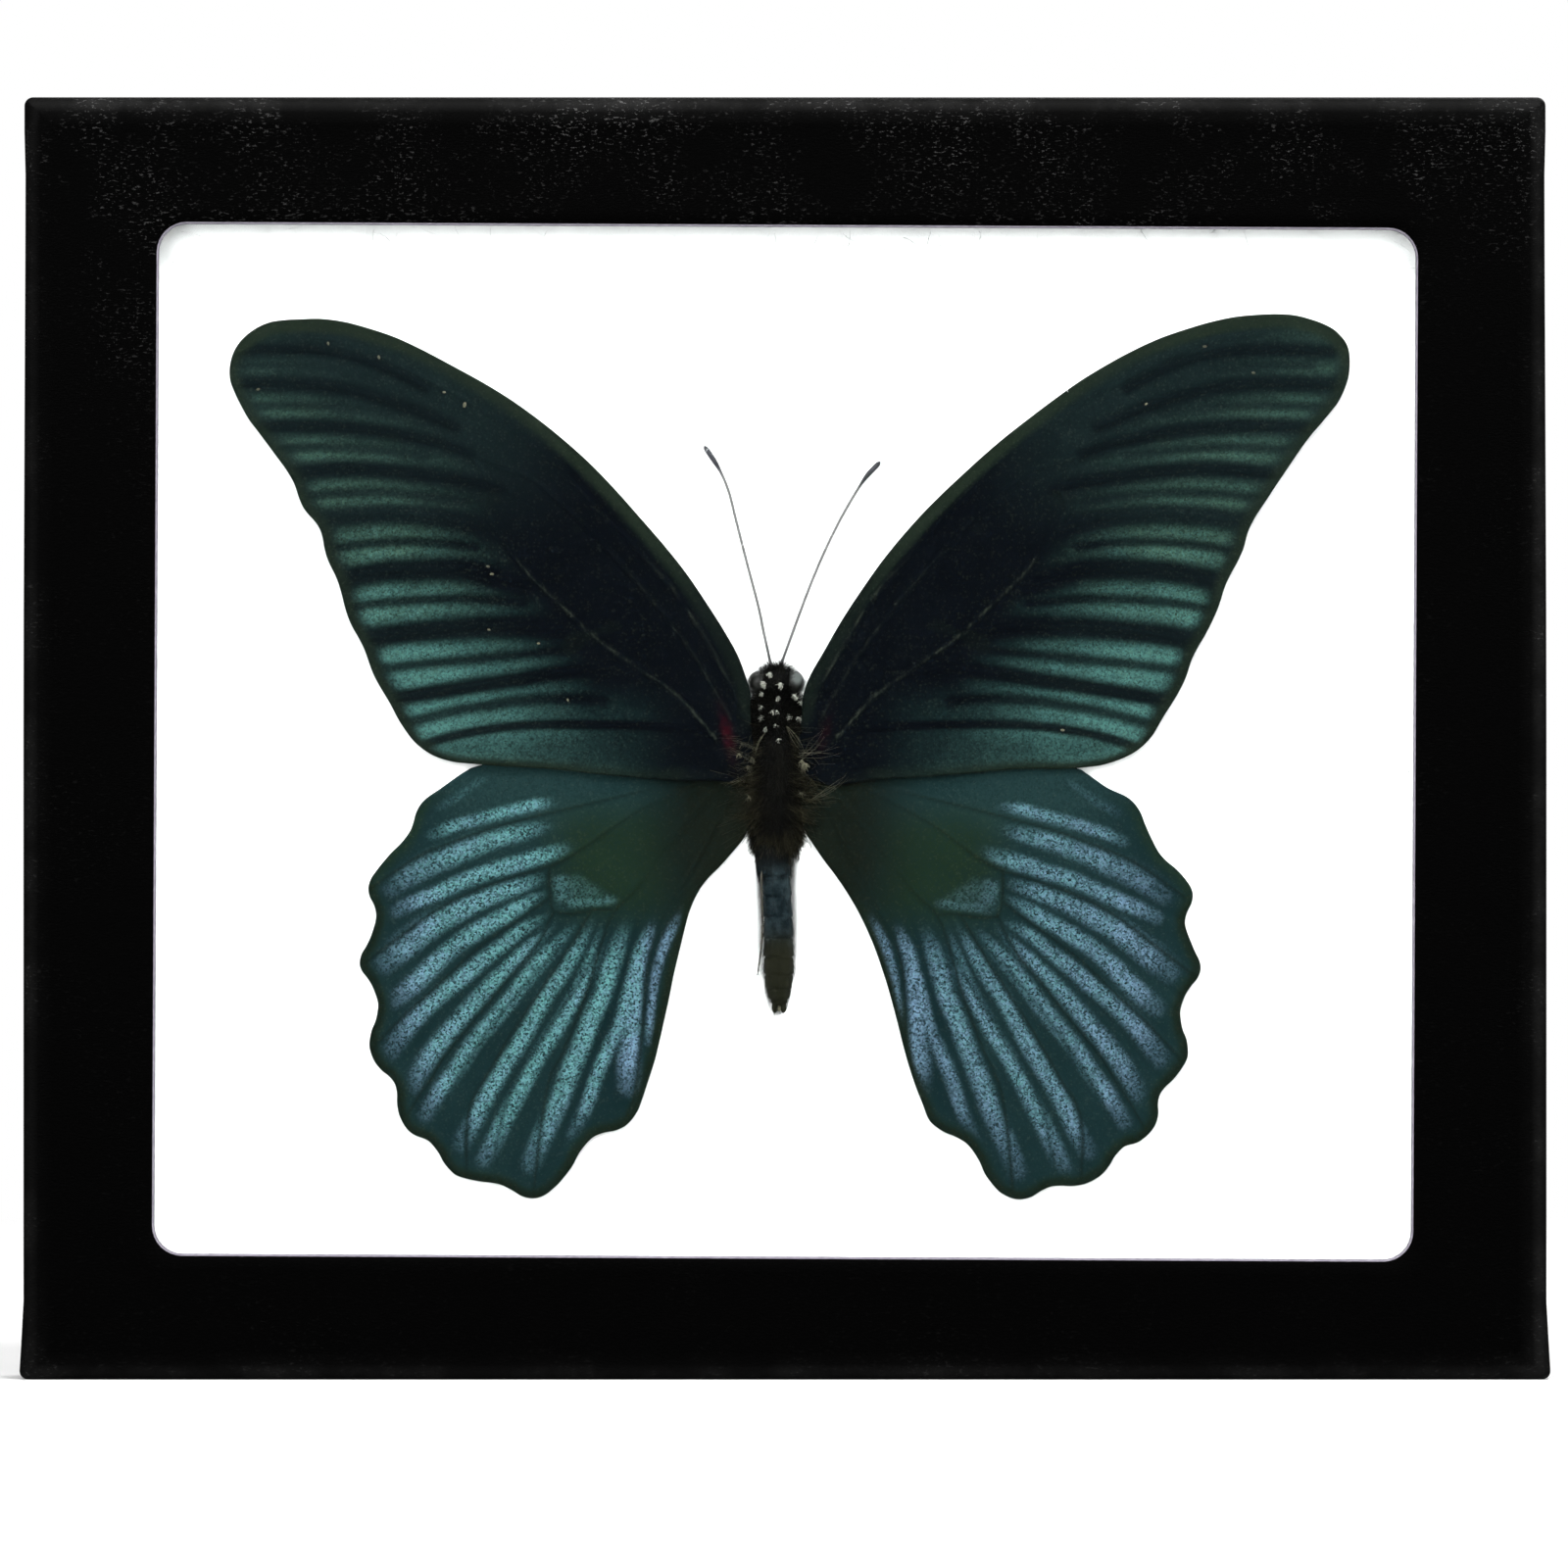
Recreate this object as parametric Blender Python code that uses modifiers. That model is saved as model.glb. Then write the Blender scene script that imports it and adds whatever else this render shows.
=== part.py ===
"""Framed butterfly specimen.

A shallow board case covered in black embossed paper holds a spread butterfly on white fibre batting
behind a pane of glass. The lid is a board frame with a rounded window and a skirt that slides down
over the tray. The glass lies behind the window, and the batting fills the tray and presses the
butterfly against the glass.

The case stands on its bottom edge. X runs across it, its front faces -Y and Z is up. The origin is
the middle of the foot of the case.
"""

from math import radians

import bmesh
import bpy

MM = 0.001
GAP = 0.3 * MM

# The case.
CASE_WIDTH = 156.2 * MM
CASE_HEIGHT = 131.5 * MM
CASE_DEPTH = 19.0 * MM
BOARD = 1.5 * MM
EDGE_ROUNDING = 0.7 * MM
TRAY_STANDS_OUT = 1.2 * MM

# The window in the lid, which was cut a little askew.
WINDOW_WIDTH = 129.1 * MM
WINDOW_HEIGHT = 105.8 * MM
WINDOW_CENTRE_HEIGHT = 65.4 * MM
WINDOW_CORNER_RADIUS = 3.0 * MM
WINDOW_SKEW = radians(0.28)

# What lies behind the window, from the front to the back.
GLASS = 1.8 * MM
GLASS_EDGE = 0.1 * MM
FRONT = -CASE_DEPTH / 2
BACK = CASE_DEPTH / 2
GLASS_FRONT = FRONT + BOARD + GAP
GLASS_BACK = GLASS_FRONT + GLASS
WING_THICKNESS = 0.3 * MM
FOREWING_MIDDLE = GLASS_BACK + 0.85 * MM
HINDWING_MIDDLE = FOREWING_MIDDLE + WING_THICKNESS + 0.4 * MM
BATTING_FRONT = HINDWING_MIDDLE + WING_THICKNESS / 2 + GAP
BATTING_ROUNDING = 1.2 * MM

# The butterfly. Its own measures are millimetres across from the middle of its body, outwards on
# each side, and up from the roots of its wings.
BODY_X = -0.9 * MM
WING_ROOT_HEIGHT = 63.1 * MM
THORAX_MIDDLE = GLASS_BACK + 3.7 * MM
THORAX_FLATTENING = 1.11
ABDOMEN_MIDDLE = GLASS_BACK + 2.9 * MM
ABDOMEN_FLATTENING = 1.12
ABDOMEN_SIDEWAYS = -0.4 * MM
ABDOMEN_TURN = radians(-3.0)
HEAD_MIDDLE = GLASS_BACK + 2.3 * MM
HEAD_HEIGHT = WING_ROOT_HEIGHT + 8.4 * MM
HEAD_RADII = (2.0 * MM, 1.9 * MM, 1.65 * MM)
EYE_RADII = (1.15 * MM, 1.15 * MM, 1.15 * MM)
EYE_ACROSS = 1.75 * MM
EYE_FORWARD = 0.2 * MM
HOLLOW_RADII = (5.4 * MM, 8.0 * MM, 25.0 * MM)
HOLLOW_HEIGHT = WING_ROOT_HEIGHT - 6.5 * MM
ANTENNA_MIDDLE = GLASS_BACK + 1.2 * MM
ANTENNA_RADIUS = 0.14 * MM
LEG_RADIUS = 0.11 * MM

# Outer sides of the body's turned parts: radius and height, from top to bottom.
THORAX_PROFILE = (
    (0.0, 6.4), (1.3, 6.2), (2.0, 5.2), (2.5, 3.8), (2.9, 1.8), (3.05, -0.5),
    (2.95, -3.0), (2.6, -5.5), (2.0, -7.4), (1.3, -8.3), (0.0, -8.6),
)
ABDOMEN_TOP = -8.9
ABDOMEN_PROFILE = (
    (0.0, 0.0), (1.2, -0.15), (1.75, -1.0), (1.6, -3.1), (1.5, -5.6), (1.5, -8.1),
    (1.52, -10.6), (1.5, -12.6), (1.3, -14.3), (0.9, -15.6), (0.4, -16.4), (0.0, -16.6),
)

# Wing outlines: out along the leading edge, round the tip and back along the inner edge. The
# hindwings' outer edges are scalloped, with a lobe where each vein ends.
FOREWING_LEFT = (
    (2.8, 8.0), (7.0, 16.3), (13.7, 25.0), (22.9, 34.2), (33.4, 41.0), (43.0, 45.1), (49.1, 45.7),
    (53.7, 44.6), (56.1, 41.0), (55.0, 36.9), (52.2, 32.8), (49.7, 29.2), (48.6, 26.4), (46.9, 24.2),
    (46.2, 21.4), (45.0, 18.7), (43.9, 14.9), (42.4, 12.0), (41.3, 9.1), (39.7, 6.3), (38.3, 3.8),
    (36.6, 1.8), (34.2, 0.5), (30.7, 0.0), (23.3, -0.5), (14.3, -1.4), (6.7, -1.7), (3.3, -1.4),
    (2.5, 0.5), (2.6, 4.9),
)
FOREWING_RIGHT = (
    (2.9, 7.6), (4.9, 11.6), (8.5, 17.5), (13.1, 23.6), (19.2, 29.8), (26.2, 35.7), (34.8, 41.5),
    (42.5, 44.8), (50.1, 46.2), (55.2, 45.6), (58.3, 43.6), (58.9, 41.3), (58.1, 37.9), (56.3, 35.4),
    (54.7, 33.5), (52.2, 29.9), (50.6, 27.5), (48.6, 24.2), (47.9, 21.9), (46.2, 18.5), (45.4, 16.1),
    (44.4, 13.9), (42.8, 11.0), (41.9, 8.5), (39.8, 4.9), (37.9, 2.1), (34.8, 0.3), (30.9, -0.4),
    (24.9, -0.5), (17.9, -1.1), (10.8, -1.5), (3.3, -1.4), (2.5, 0.5), (2.6, 4.6),
)
HINDWING_LEFT = (
    (30.4, -0.1), (34.5, -2.5), (36.6, -4.2), (37.7, -7.0), (40.5, -10.2), (41.9, -12.7),
    (41.1, -15.3), (41.7, -17.8), (42.8, -20.5), (41.6, -22.6), (40.9, -24.9), (41.8, -28.7),
    (41.1, -30.8), (39.2, -32.8), (38.8, -35.8), (37.6, -37.8), (35.6, -38.8), (33.2, -42.0),
    (31.3, -42.7), (28.3, -43.2), (24.9, -44.6), (22.1, -42.8), (18.9, -38.4), (15.3, -37.0),
    (13.2, -32.7), (11.5, -26.3), (9.9, -19.0), (8.0, -13.1), (4.7, -9.3), (2.9, -6.6),
    (3.2, -2.2), (9.2, 1.0),
)
HINDWING_RIGHT = (
    (30.5, -0.3), (34.0, -2.4), (36.7, -3.9), (38.3, -7.1), (39.5, -9.3), (41.7, -11.4),
    (42.8, -13.4), (42.0, -16.1), (42.8, -18.7), (43.6, -21.1), (42.1, -23.6), (41.5, -25.7),
    (42.3, -29.8), (41.2, -31.9), (39.4, -34.0), (39.1, -36.7), (37.4, -38.7), (35.6, -39.4),
    (33.5, -42.1), (31.4, -43.2), (28.2, -43.4), (25.2, -44.7), (22.7, -43.7), (19.7, -39.1),
    (16.0, -36.9), (15.0, -34.8), (13.6, -30.9), (12.1, -25.2), (10.9, -21.1), (9.1, -16.5),
    (6.9, -12.6), (3.9, -8.4), (2.9, -6.5), (3.2, -2.2), (8.8, 1.0),
)

# Antennae and leg: across, up and how many times the plain radius, from the root to the tip.
ANTENNA_LEFT = (
    (0.5, 10.5, 1.2), (1.8, 16.1, 0.9), (3.0, 20.7, 0.9), (4.1, 25.0, 0.9), (4.9, 28.1, 1.0),
    (5.9, 30.4, 1.7), (7.4, 32.7, 1.9),
)
ANTENNA_RIGHT = (
    (0.4, 10.5, 1.2), (2.4, 15.5, 0.9), (3.9, 19.4, 0.9), (5.5, 23.0, 0.9), (7.1, 26.1, 0.9),
    (9.0, 29.2, 1.5), (10.7, 31.1, 1.8),
)
HIND_LEG = (
    (1.5, -11.0, 1.2), (1.5, -13.4, 1.1), (1.4, -16.2, 1.0), (1.6, -18.8, 0.8), (1.9, -21.5, 0.7),
)
LEG_MIDDLE = ABDOMEN_MIDDLE - 1.6 * MM


def clear_scene():
    for thing in list(bpy.data.objects):
        bpy.data.objects.remove(thing, do_unlink=True)


def collection(name):
    made = bpy.data.collections.new(name)
    bpy.context.scene.collection.children.link(made)
    return made


def material(name, colour, roughness):
    made = bpy.data.materials.new(name)
    made.use_nodes = True
    shader = made.node_tree.nodes["Principled BSDF"]
    shader.inputs["Base Color"].default_value = (*colour, 1.0)
    shader.inputs["Roughness"].default_value = roughness
    made.diffuse_color = (*colour, 1.0)
    return made


def place(name, data, group, surface, location=(0, 0, 0)):
    """A new object for a mesh or a curve, in its collection and with its own material."""
    made = bpy.data.objects.new(name, data)
    made.location = location
    if surface:
        data.materials.append(surface)
    group.objects.link(made)
    return made


def as_cutter(thing):
    thing.hide_render = True
    thing.display_type = "WIRE"
    return thing


def block(name, size, centre, group, surface=None):
    """A box of the given size, its scale already in its mesh."""
    mesh = bpy.data.meshes.new(name)
    shape = bmesh.new()
    bmesh.ops.create_cube(shape, size=1.0)
    bmesh.ops.scale(shape, vec=size, verts=shape.verts)
    shape.to_mesh(mesh)
    shape.free()
    return place(name, mesh, group, surface, centre)


def round_edges(thing, width, segments=3):
    bevel = thing.modifiers.new("rounded edges", "BEVEL")
    bevel.width = width
    bevel.segments = segments
    bevel.limit_method = "ANGLE"


def cut(thing, cutter):
    boolean = thing.modifiers.new(f"cut by {cutter.name}", "BOOLEAN")
    boolean.operation = "DIFFERENCE"
    boolean.solver = "EXACT"
    boolean.object = cutter


def flat_outline(name, points, thickness, group, surface):
    """A plate whose smooth outline passes through the points, standing in the XZ plane."""
    curve = bpy.data.curves.new(name, "CURVE")
    curve.dimensions = "2D"
    curve.fill_mode = "BOTH"
    curve.extrude = thickness / 2
    curve.resolution_u = 3
    spline = curve.splines.new("BEZIER")
    spline.bezier_points.add(len(points) - 1)
    for knot, (x, z) in zip(spline.bezier_points, points):
        knot.co = (x, z, 0)
        knot.handle_left_type = "AUTO"
        knot.handle_right_type = "AUTO"
    spline.use_cyclic_u = True
    made = place(name, curve, group, surface)
    made.rotation_euler.x = radians(90)
    return made


def turned(name, profile, group, surface, steps=20):
    """A solid turned about its own Z axis from a profile of radii and heights."""
    mesh = bpy.data.meshes.new(name)
    vertices = [(radius * MM, 0, height * MM) for radius, height in profile]
    edges = [(i, i + 1) for i in range(len(profile) - 1)]
    mesh.from_pydata(vertices, edges, [])
    made = place(name, mesh, group, surface)
    screw = made.modifiers.new("turned", "SCREW")
    screw.axis = "Z"
    screw.steps = steps
    screw.render_steps = steps
    screw.use_merge_vertices = True
    screw.merge_threshold = 1e-6
    screw.use_smooth_shade = True
    return made


def ball(name, radii, centre, group, surface=None):
    mesh = bpy.data.meshes.new(name)
    shape = bmesh.new()
    bmesh.ops.create_uvsphere(shape, u_segments=20, v_segments=12, radius=1.0)
    bmesh.ops.scale(shape, vec=radii, verts=shape.verts)
    shape.to_mesh(mesh)
    shape.free()
    mesh.shade_smooth()
    return place(name, mesh, group, surface, centre)


def thin_tube(name, route, side, depth, radius, group, surface):
    """A tube of changing thickness along a smooth route on one side of the body."""
    curve = bpy.data.curves.new(name, "CURVE")
    curve.dimensions = "3D"
    curve.bevel_depth = radius
    curve.bevel_resolution = 1
    curve.resolution_u = 4
    curve.use_fill_caps = True
    spline = curve.splines.new("BEZIER")
    spline.bezier_points.add(len(route) - 1)
    for knot, (across, up, swelling) in zip(spline.bezier_points, route):
        knot.co = (side * across * MM, 0, up * MM)
        knot.radius = swelling
        knot.handle_left_type = "AUTO"
        knot.handle_right_type = "AUTO"
    return place(name, curve, group, surface, (BODY_X, depth, WING_ROOT_HEIGHT))


def make_lid(parts, cutters, surface):
    """Front board with its window, and a skirt of the same board all round."""
    skirt_end = BACK - TRAY_STANDS_OUT
    depth = skirt_end - FRONT
    lid = block(
        "lid",
        (CASE_WIDTH, depth, CASE_HEIGHT),
        (0, (FRONT + skirt_end) / 2, CASE_HEIGHT / 2),
        parts,
        surface,
    )
    inside = as_cutter(block(
        "inside of the lid",
        (CASE_WIDTH - 2 * BOARD, depth, CASE_HEIGHT - 2 * BOARD),
        (0, FRONT + BOARD + depth / 2, CASE_HEIGHT / 2),
        cutters,
    ))
    window = as_cutter(block(
        "window",
        (WINDOW_WIDTH, CASE_DEPTH, WINDOW_HEIGHT),
        (0, FRONT, WINDOW_CENTRE_HEIGHT),
        cutters,
    ))
    window.rotation_euler.y = WINDOW_SKEW
    round_edges(window, WINDOW_CORNER_RADIUS, 6)
    round_edges(lid, EDGE_ROUNDING)
    cut(lid, inside)
    cut(lid, window)


def make_tray(parts, cutters, surface):
    """Shallow tray that the lid slides over, its back standing just out of the skirt."""
    reveal = BOARD + GAP
    width = CASE_WIDTH - 2 * reveal
    height = CASE_HEIGHT - 2 * reveal
    front = GLASS_BACK + GAP
    depth = BACK - front
    tray = block(
        "tray", (width, depth, height), (0, (front + BACK) / 2, CASE_HEIGHT / 2), parts, surface
    )
    inside = as_cutter(block(
        "inside of the tray",
        (width - 2 * BOARD, depth, height - 2 * BOARD),
        (0, front - BOARD + depth / 2, CASE_HEIGHT / 2),
        cutters,
    ))
    round_edges(tray, EDGE_ROUNDING / 2, 2)
    cut(tray, inside)


def make_glass(parts, surface):
    reveal = BOARD + GAP
    pane = block(
        "glass",
        (CASE_WIDTH - 2 * reveal, GLASS, CASE_HEIGHT - 2 * reveal),
        (0, (GLASS_FRONT + GLASS_BACK) / 2, CASE_HEIGHT / 2),
        parts,
        surface,
    )
    round_edges(pane, GLASS_EDGE, 1)


def make_batting(parts, cutters, surface):
    """Fibre pad that fills the tray, pressed in where the body lies."""
    reveal = 2 * (BOARD + GAP)
    back = BACK - BOARD - GAP
    batting = block(
        "batting",
        (CASE_WIDTH - 2 * reveal, back - BATTING_FRONT, CASE_HEIGHT - 2 * reveal),
        (0, (BATTING_FRONT + back) / 2, CASE_HEIGHT / 2),
        parts,
        surface,
    )
    hollow = as_cutter(ball(
        "hollow under the body",
        HOLLOW_RADII,
        (BODY_X, BATTING_FRONT, HOLLOW_HEIGHT),
        cutters,
    ))
    round_edges(batting, BATTING_ROUNDING, 2)
    cut(batting, hollow)


def make_body(parts, cutters, chitin, capsule):
    """Head with its round eyes, thorax and abdomen, apart from each other by a hair."""
    thorax = turned("thorax", THORAX_PROFILE, parts, chitin)
    thorax.location = (BODY_X, THORAX_MIDDLE, WING_ROOT_HEIGHT)
    thorax.scale.y = THORAX_FLATTENING
    abdomen = turned("abdomen", ABDOMEN_PROFILE, parts, chitin, 16)
    abdomen.location = (
        BODY_X + ABDOMEN_SIDEWAYS,
        ABDOMEN_MIDDLE,
        WING_ROOT_HEIGHT + ABDOMEN_TOP * MM,
    )
    abdomen.rotation_euler.y = ABDOMEN_TURN
    abdomen.scale.y = ABDOMEN_FLATTENING
    head = ball("head", HEAD_RADII, (BODY_X, HEAD_MIDDLE, HEAD_HEIGHT), parts, capsule)
    for side, word in ((-1, "left"), (1, "right")):
        eye = as_cutter(ball(
            f"{word} eye",
            EYE_RADII,
            (BODY_X + side * EYE_ACROSS, HEAD_MIDDLE - EYE_FORWARD, HEAD_HEIGHT),
            cutters,
        ))
        joined = head.modifiers.new(f"{word} eye", "BOOLEAN")
        joined.operation = "UNION"
        joined.solver = "EXACT"
        joined.object = eye


def make_wing(name, outline, side, depth, parts, surface):
    points = [(side * across * MM, up * MM) for across, up in outline]
    wing = flat_outline(name, points, WING_THICKNESS, parts, surface)
    wing.location = (BODY_X, depth, WING_ROOT_HEIGHT)


def main():
    clear_scene()
    parts = collection("framed butterfly specimen")
    cutters = collection("cutters")
    make_lid(parts, cutters, material("black embossed paper", (0.012, 0.012, 0.013), 0.55))
    make_tray(parts, cutters, material("black paper", (0.015, 0.015, 0.015), 0.7))
    make_glass(parts, material("glass", (0.95, 0.97, 0.97), 0.02))
    make_batting(parts, cutters, material("white fibre", (0.93, 0.94, 0.94), 0.95))
    make_body(
        parts,
        cutters,
        material("dark chitin", (0.018, 0.02, 0.026), 0.6),
        material("head", (0.016, 0.016, 0.018), 0.45),
    )
    forewing = material("forewing scales", (0.02, 0.045, 0.045), 0.6)
    hindwing = material("hindwing scales", (0.05, 0.11, 0.13), 0.6)
    make_wing("forewing_left", FOREWING_LEFT, -1, FOREWING_MIDDLE, parts, forewing)
    make_wing("forewing_right", FOREWING_RIGHT, 1, FOREWING_MIDDLE, parts, forewing)
    make_wing("hindwing_left", HINDWING_LEFT, -1, HINDWING_MIDDLE, parts, hindwing)
    make_wing("hindwing_right", HINDWING_RIGHT, 1, HINDWING_MIDDLE, parts, hindwing)
    feeler = material("antenna", (0.04, 0.04, 0.045), 0.5)
    leg = material("leg", (0.02, 0.018, 0.016), 0.6)
    thin_tube("antenna_left", ANTENNA_LEFT, -1, ANTENNA_MIDDLE, ANTENNA_RADIUS, parts, feeler)
    thin_tube("antenna_right", ANTENNA_RIGHT, 1, ANTENNA_MIDDLE, ANTENNA_RADIUS, parts, feeler)
    thin_tube("hind_leg_left", HIND_LEG, -1, LEG_MIDDLE, LEG_RADIUS, parts, leg)


main()
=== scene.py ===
import math
import random

import bmesh
import bpy
import numpy as np
from mathutils import Matrix, Vector
from mathutils.bvhtree import BVHTree
from mathutils.geometry import delaunay_2d_cdt


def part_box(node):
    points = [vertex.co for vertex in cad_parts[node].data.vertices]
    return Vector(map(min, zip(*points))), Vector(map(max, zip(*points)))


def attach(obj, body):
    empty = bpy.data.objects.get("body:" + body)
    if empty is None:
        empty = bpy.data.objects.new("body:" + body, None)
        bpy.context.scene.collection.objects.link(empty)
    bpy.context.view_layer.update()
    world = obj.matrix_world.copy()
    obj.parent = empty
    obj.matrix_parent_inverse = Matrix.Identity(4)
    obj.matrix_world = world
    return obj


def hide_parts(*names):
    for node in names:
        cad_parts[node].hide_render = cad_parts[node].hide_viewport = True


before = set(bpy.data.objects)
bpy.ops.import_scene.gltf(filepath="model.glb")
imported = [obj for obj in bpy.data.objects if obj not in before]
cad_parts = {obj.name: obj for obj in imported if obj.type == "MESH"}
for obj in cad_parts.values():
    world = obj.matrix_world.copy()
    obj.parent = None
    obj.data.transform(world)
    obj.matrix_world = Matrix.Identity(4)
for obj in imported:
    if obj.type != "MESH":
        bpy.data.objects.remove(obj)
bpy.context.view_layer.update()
MM = 0.001


# The studio: a pale floor in a white room, soft lamps, and a camera far off with a long lens, level
# with the butterfly, that shows the case squarely and almost without perspective.
CAMERA_DISTANCE = 2.0
CAMERA_ASIDE = -0.1 * MM
SENSOR = 36.0
VIEW_WIDTH = 1.0289
EYE_LEVEL = 0.4644
LAMPS = (("lamp left", (-0.50, -0.95, 0.30), (0.6, 0.8), 7.2),
         ("lamp right", (0.50, -0.95, 0.30), (0.6, 0.8), 7.2),
         ("lamp above", (0.06, -0.36, 0.50), (0.45, 0.12), 3.2),
         ("lamp behind", (0.3, 0.9, 0.7), (0.7, 0.5), 8))

case_low, case_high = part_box("lid")
case_width = case_high.x - case_low.x
case_height = case_high.z - case_low.z
front_y = case_low.y

camera = bpy.data.objects.new("camera", bpy.data.cameras.new("camera"))
bpy.context.scene.collection.objects.link(camera)
camera.location = (CAMERA_ASIDE, front_y - CAMERA_DISTANCE, case_low.z + EYE_LEVEL * case_height)
camera.rotation_euler = (math.radians(90), 0, 0)
camera.data.sensor_width = SENSOR
camera.data.lens = SENSOR * CAMERA_DISTANCE / (VIEW_WIDTH * case_width)
camera.data.clip_start = 0.1
camera.data.clip_end = 50
bpy.context.scene.camera = camera

for name, place, size, power in LAMPS:
    light = bpy.data.lights.new(name, "AREA")
    light.shape = "RECTANGLE"
    light.size, light.size_y = size
    light.energy = power
    lamp = bpy.data.objects.new(name, light)
    bpy.context.scene.collection.objects.link(lamp)
    lamp.location = place
    lamp.rotation_mode = "QUATERNION"
    lamp.rotation_quaternion = (Vector((0, 0, case_height / 2)) - Vector(place)).to_track_quat("-Z", "Y")


def node(tree, kind, inputs=None, **settings):
    """A node with its settings, and its inputs as plain values or as other nodes' outputs."""
    made = tree.nodes.new(kind)
    for name, value in settings.items():
        setattr(made, name, value)
    for name, value in (inputs or {}).items():
        if isinstance(value, bpy.types.NodeSocket):
            tree.links.new(value, made.inputs[name])
        else:
            made.inputs[name].default_value = value
    return made


def part_way(tree, amount, low, high):
    """A value between two others."""
    return node(tree, "ShaderNodeMix", {0: amount, 2: low, 3: high}, data_type="FLOAT").outputs[0]


def ramp(tree, value, low=0.0, high=1.0, start=0.0, end=1.0, curve="LINEAR"):
    """A value that goes from start to end while another goes from low to high."""
    return node(tree, "ShaderNodeMapRange", {"Value": value, "From Min": low, "From Max": high,
                                             "To Min": start,
                                             "To Max": end}, interpolation_type=curve).outputs[0]


def tint(tree, amount, low, high):
    """A colour between two others, each three numbers or a node's output."""
    low, high = (c if isinstance(c, bpy.types.NodeSocket) else (*c, 1) for c in (low, high))
    return node(tree, "ShaderNodeMix", {0: amount, 6: low, 7: high}, data_type="RGBA").outputs[2]


def noise(tree, place, scale, detail, roughness=0.5, distortion=0.0):
    """Soft mottling."""
    return node(tree, "ShaderNodeTexNoise", {"Vector": place, "Scale": scale, "Detail": detail,
                                             "Roughness": roughness,
                                             "Distortion": distortion}).outputs[0]


def new_finish(name, roughness=0.5, shine=0.5):
    """A material with one Principled shader; returns it, its tree, the shader, and places on the piece."""
    made = bpy.data.materials.new(name)
    made.use_nodes = True
    tree = made.node_tree
    shader = tree.nodes["Principled BSDF"]
    shader.inputs["Roughness"].default_value = roughness
    shader.inputs["Specular IOR Level"].default_value = shine
    return made, tree, shader, node(tree, "ShaderNodeTexCoord").outputs["Object"]


def object_of(name, mesh, *materials):
    """An object at the origin, linked into the scene, with its materials."""
    made = bpy.data.objects.new(name, mesh)
    bpy.context.scene.collection.objects.link(made)
    for finish in materials:
        mesh.materials.append(finish)
    return made


room = bpy.data.worlds.new("white room")
bpy.context.scene.world = room
room.use_nodes = True
tree = room.node_tree
tree.nodes.clear()
path = node(tree, "ShaderNodeLightPath").outputs
way = node(tree, "ShaderNodeTexCoord").outputs["Generated"]
ahead = node(tree, "ShaderNodeVectorMath", {0: way, 1: (0, -1, 0)}, operation="DOT_PRODUCT").outputs["Value"]
shade = ramp(tree, ahead, 0.99, 0.8, 0.01, part_way(tree, path["Is Transmission Ray"], 0.12, 1.0))
fill = part_way(tree, path["Is Diffuse Ray"], shade, 0.45)
strength = part_way(tree, path["Is Camera Ray"], fill, 1.0)
background = node(tree, "ShaderNodeBackground", {"Color": (1, 1, 1, 1), "Strength": strength})
node(tree, "ShaderNodeOutputWorld", {"Surface": background.outputs[0]})
bpy.context.scene.view_settings.view_transform = "Standard"

floor_white, tree, shader, place = new_finish("floor white", 0.9, 0.1)
white = tint(tree, noise(tree, place, 30.0, 4.0), (0.9, 0.9, 0.9), (0.94, 0.94, 0.94))
tree.links.new(white, shader.inputs["Base Color"])
distance = node(tree, "ShaderNodeVectorMath", {0: place}, operation="LENGTH").outputs["Value"]
tree.links.new(ramp(tree, distance, 0.3, 0.8, 1.0, 0.0, "SMOOTHSTEP"), shader.inputs["Alpha"])
sheet = bmesh.new()
bmesh.ops.create_circle(sheet, cap_ends=True, segments=64, radius=3.0)
floor_mesh = bpy.data.meshes.new("floor")
sheet.to_mesh(floor_mesh)
sheet.free()
floor_mesh.transform(Matrix.Translation((0, 0, case_low.z)))
floor = object_of("floor", floor_mesh, floor_white)
floor.visible_glossy = False
floor.visible_transmission = False


# The tray: the bottom half of the case, 1.5 mm board folded up at its four sides and covered in thin
# black grained paper, with a lining sheet pasted over the turned-in edges on its back.
TRAY_ROUNDING = 0.9 * MM
BOARD = 1.5 * MM
PASTE_DOWN_INSET = 3.0 * MM
PAPER = 0.14 * MM
SHARPEST = 0.15 * MM
# Places along each straight side, close together where the paper laps.
RUN = (0.0, 0.02, 0.055, 0.058, 0.12, 0.25, 0.4, 0.5, 0.6, 0.75, 0.88, 0.942, 0.945, 0.98, 1.0)
CORNERS = ((1, 1), (-1, 1), (-1, -1), (1, -1))


def rounded_rectangle(half_width, half_height, radius, centre, turn=0.0, arc=8):
    """Points round a rectangle with rounded corners, in X and Z, the same count for any size."""
    def on_corner(quarter, degrees):
        cx, cz = (s * (half - radius) for s, half in zip(CORNERS[quarter % 4], (half_width, half_height)))
        angle = math.radians(degrees)
        return cx + radius * math.cos(angle), cz + radius * math.sin(angle)

    points = []
    for quarter in range(4):
        points += [on_corner(quarter, 90 * (quarter + step / arc)) for step in range(arc + 1)]
        start = points[-1]
        end = on_corner(quarter + 1, 90 * (quarter + 1))
        points += [(start[0] + (end[0] - start[0]) * part, start[1] + (end[1] - start[1]) * part)
                   for part in RUN[1:-1]]
    cos, sin = math.cos(turn), math.sin(turn)
    return [(centre[0] + x * cos + z * sin, centre[1] - x * sin + z * cos) for x, z in points]


def mesh_of(name, made):
    """A mesh from a bmesh, which is let go."""
    mesh = bpy.data.meshes.new(name)
    made.to_mesh(mesh)
    made.free()
    return mesh


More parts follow.
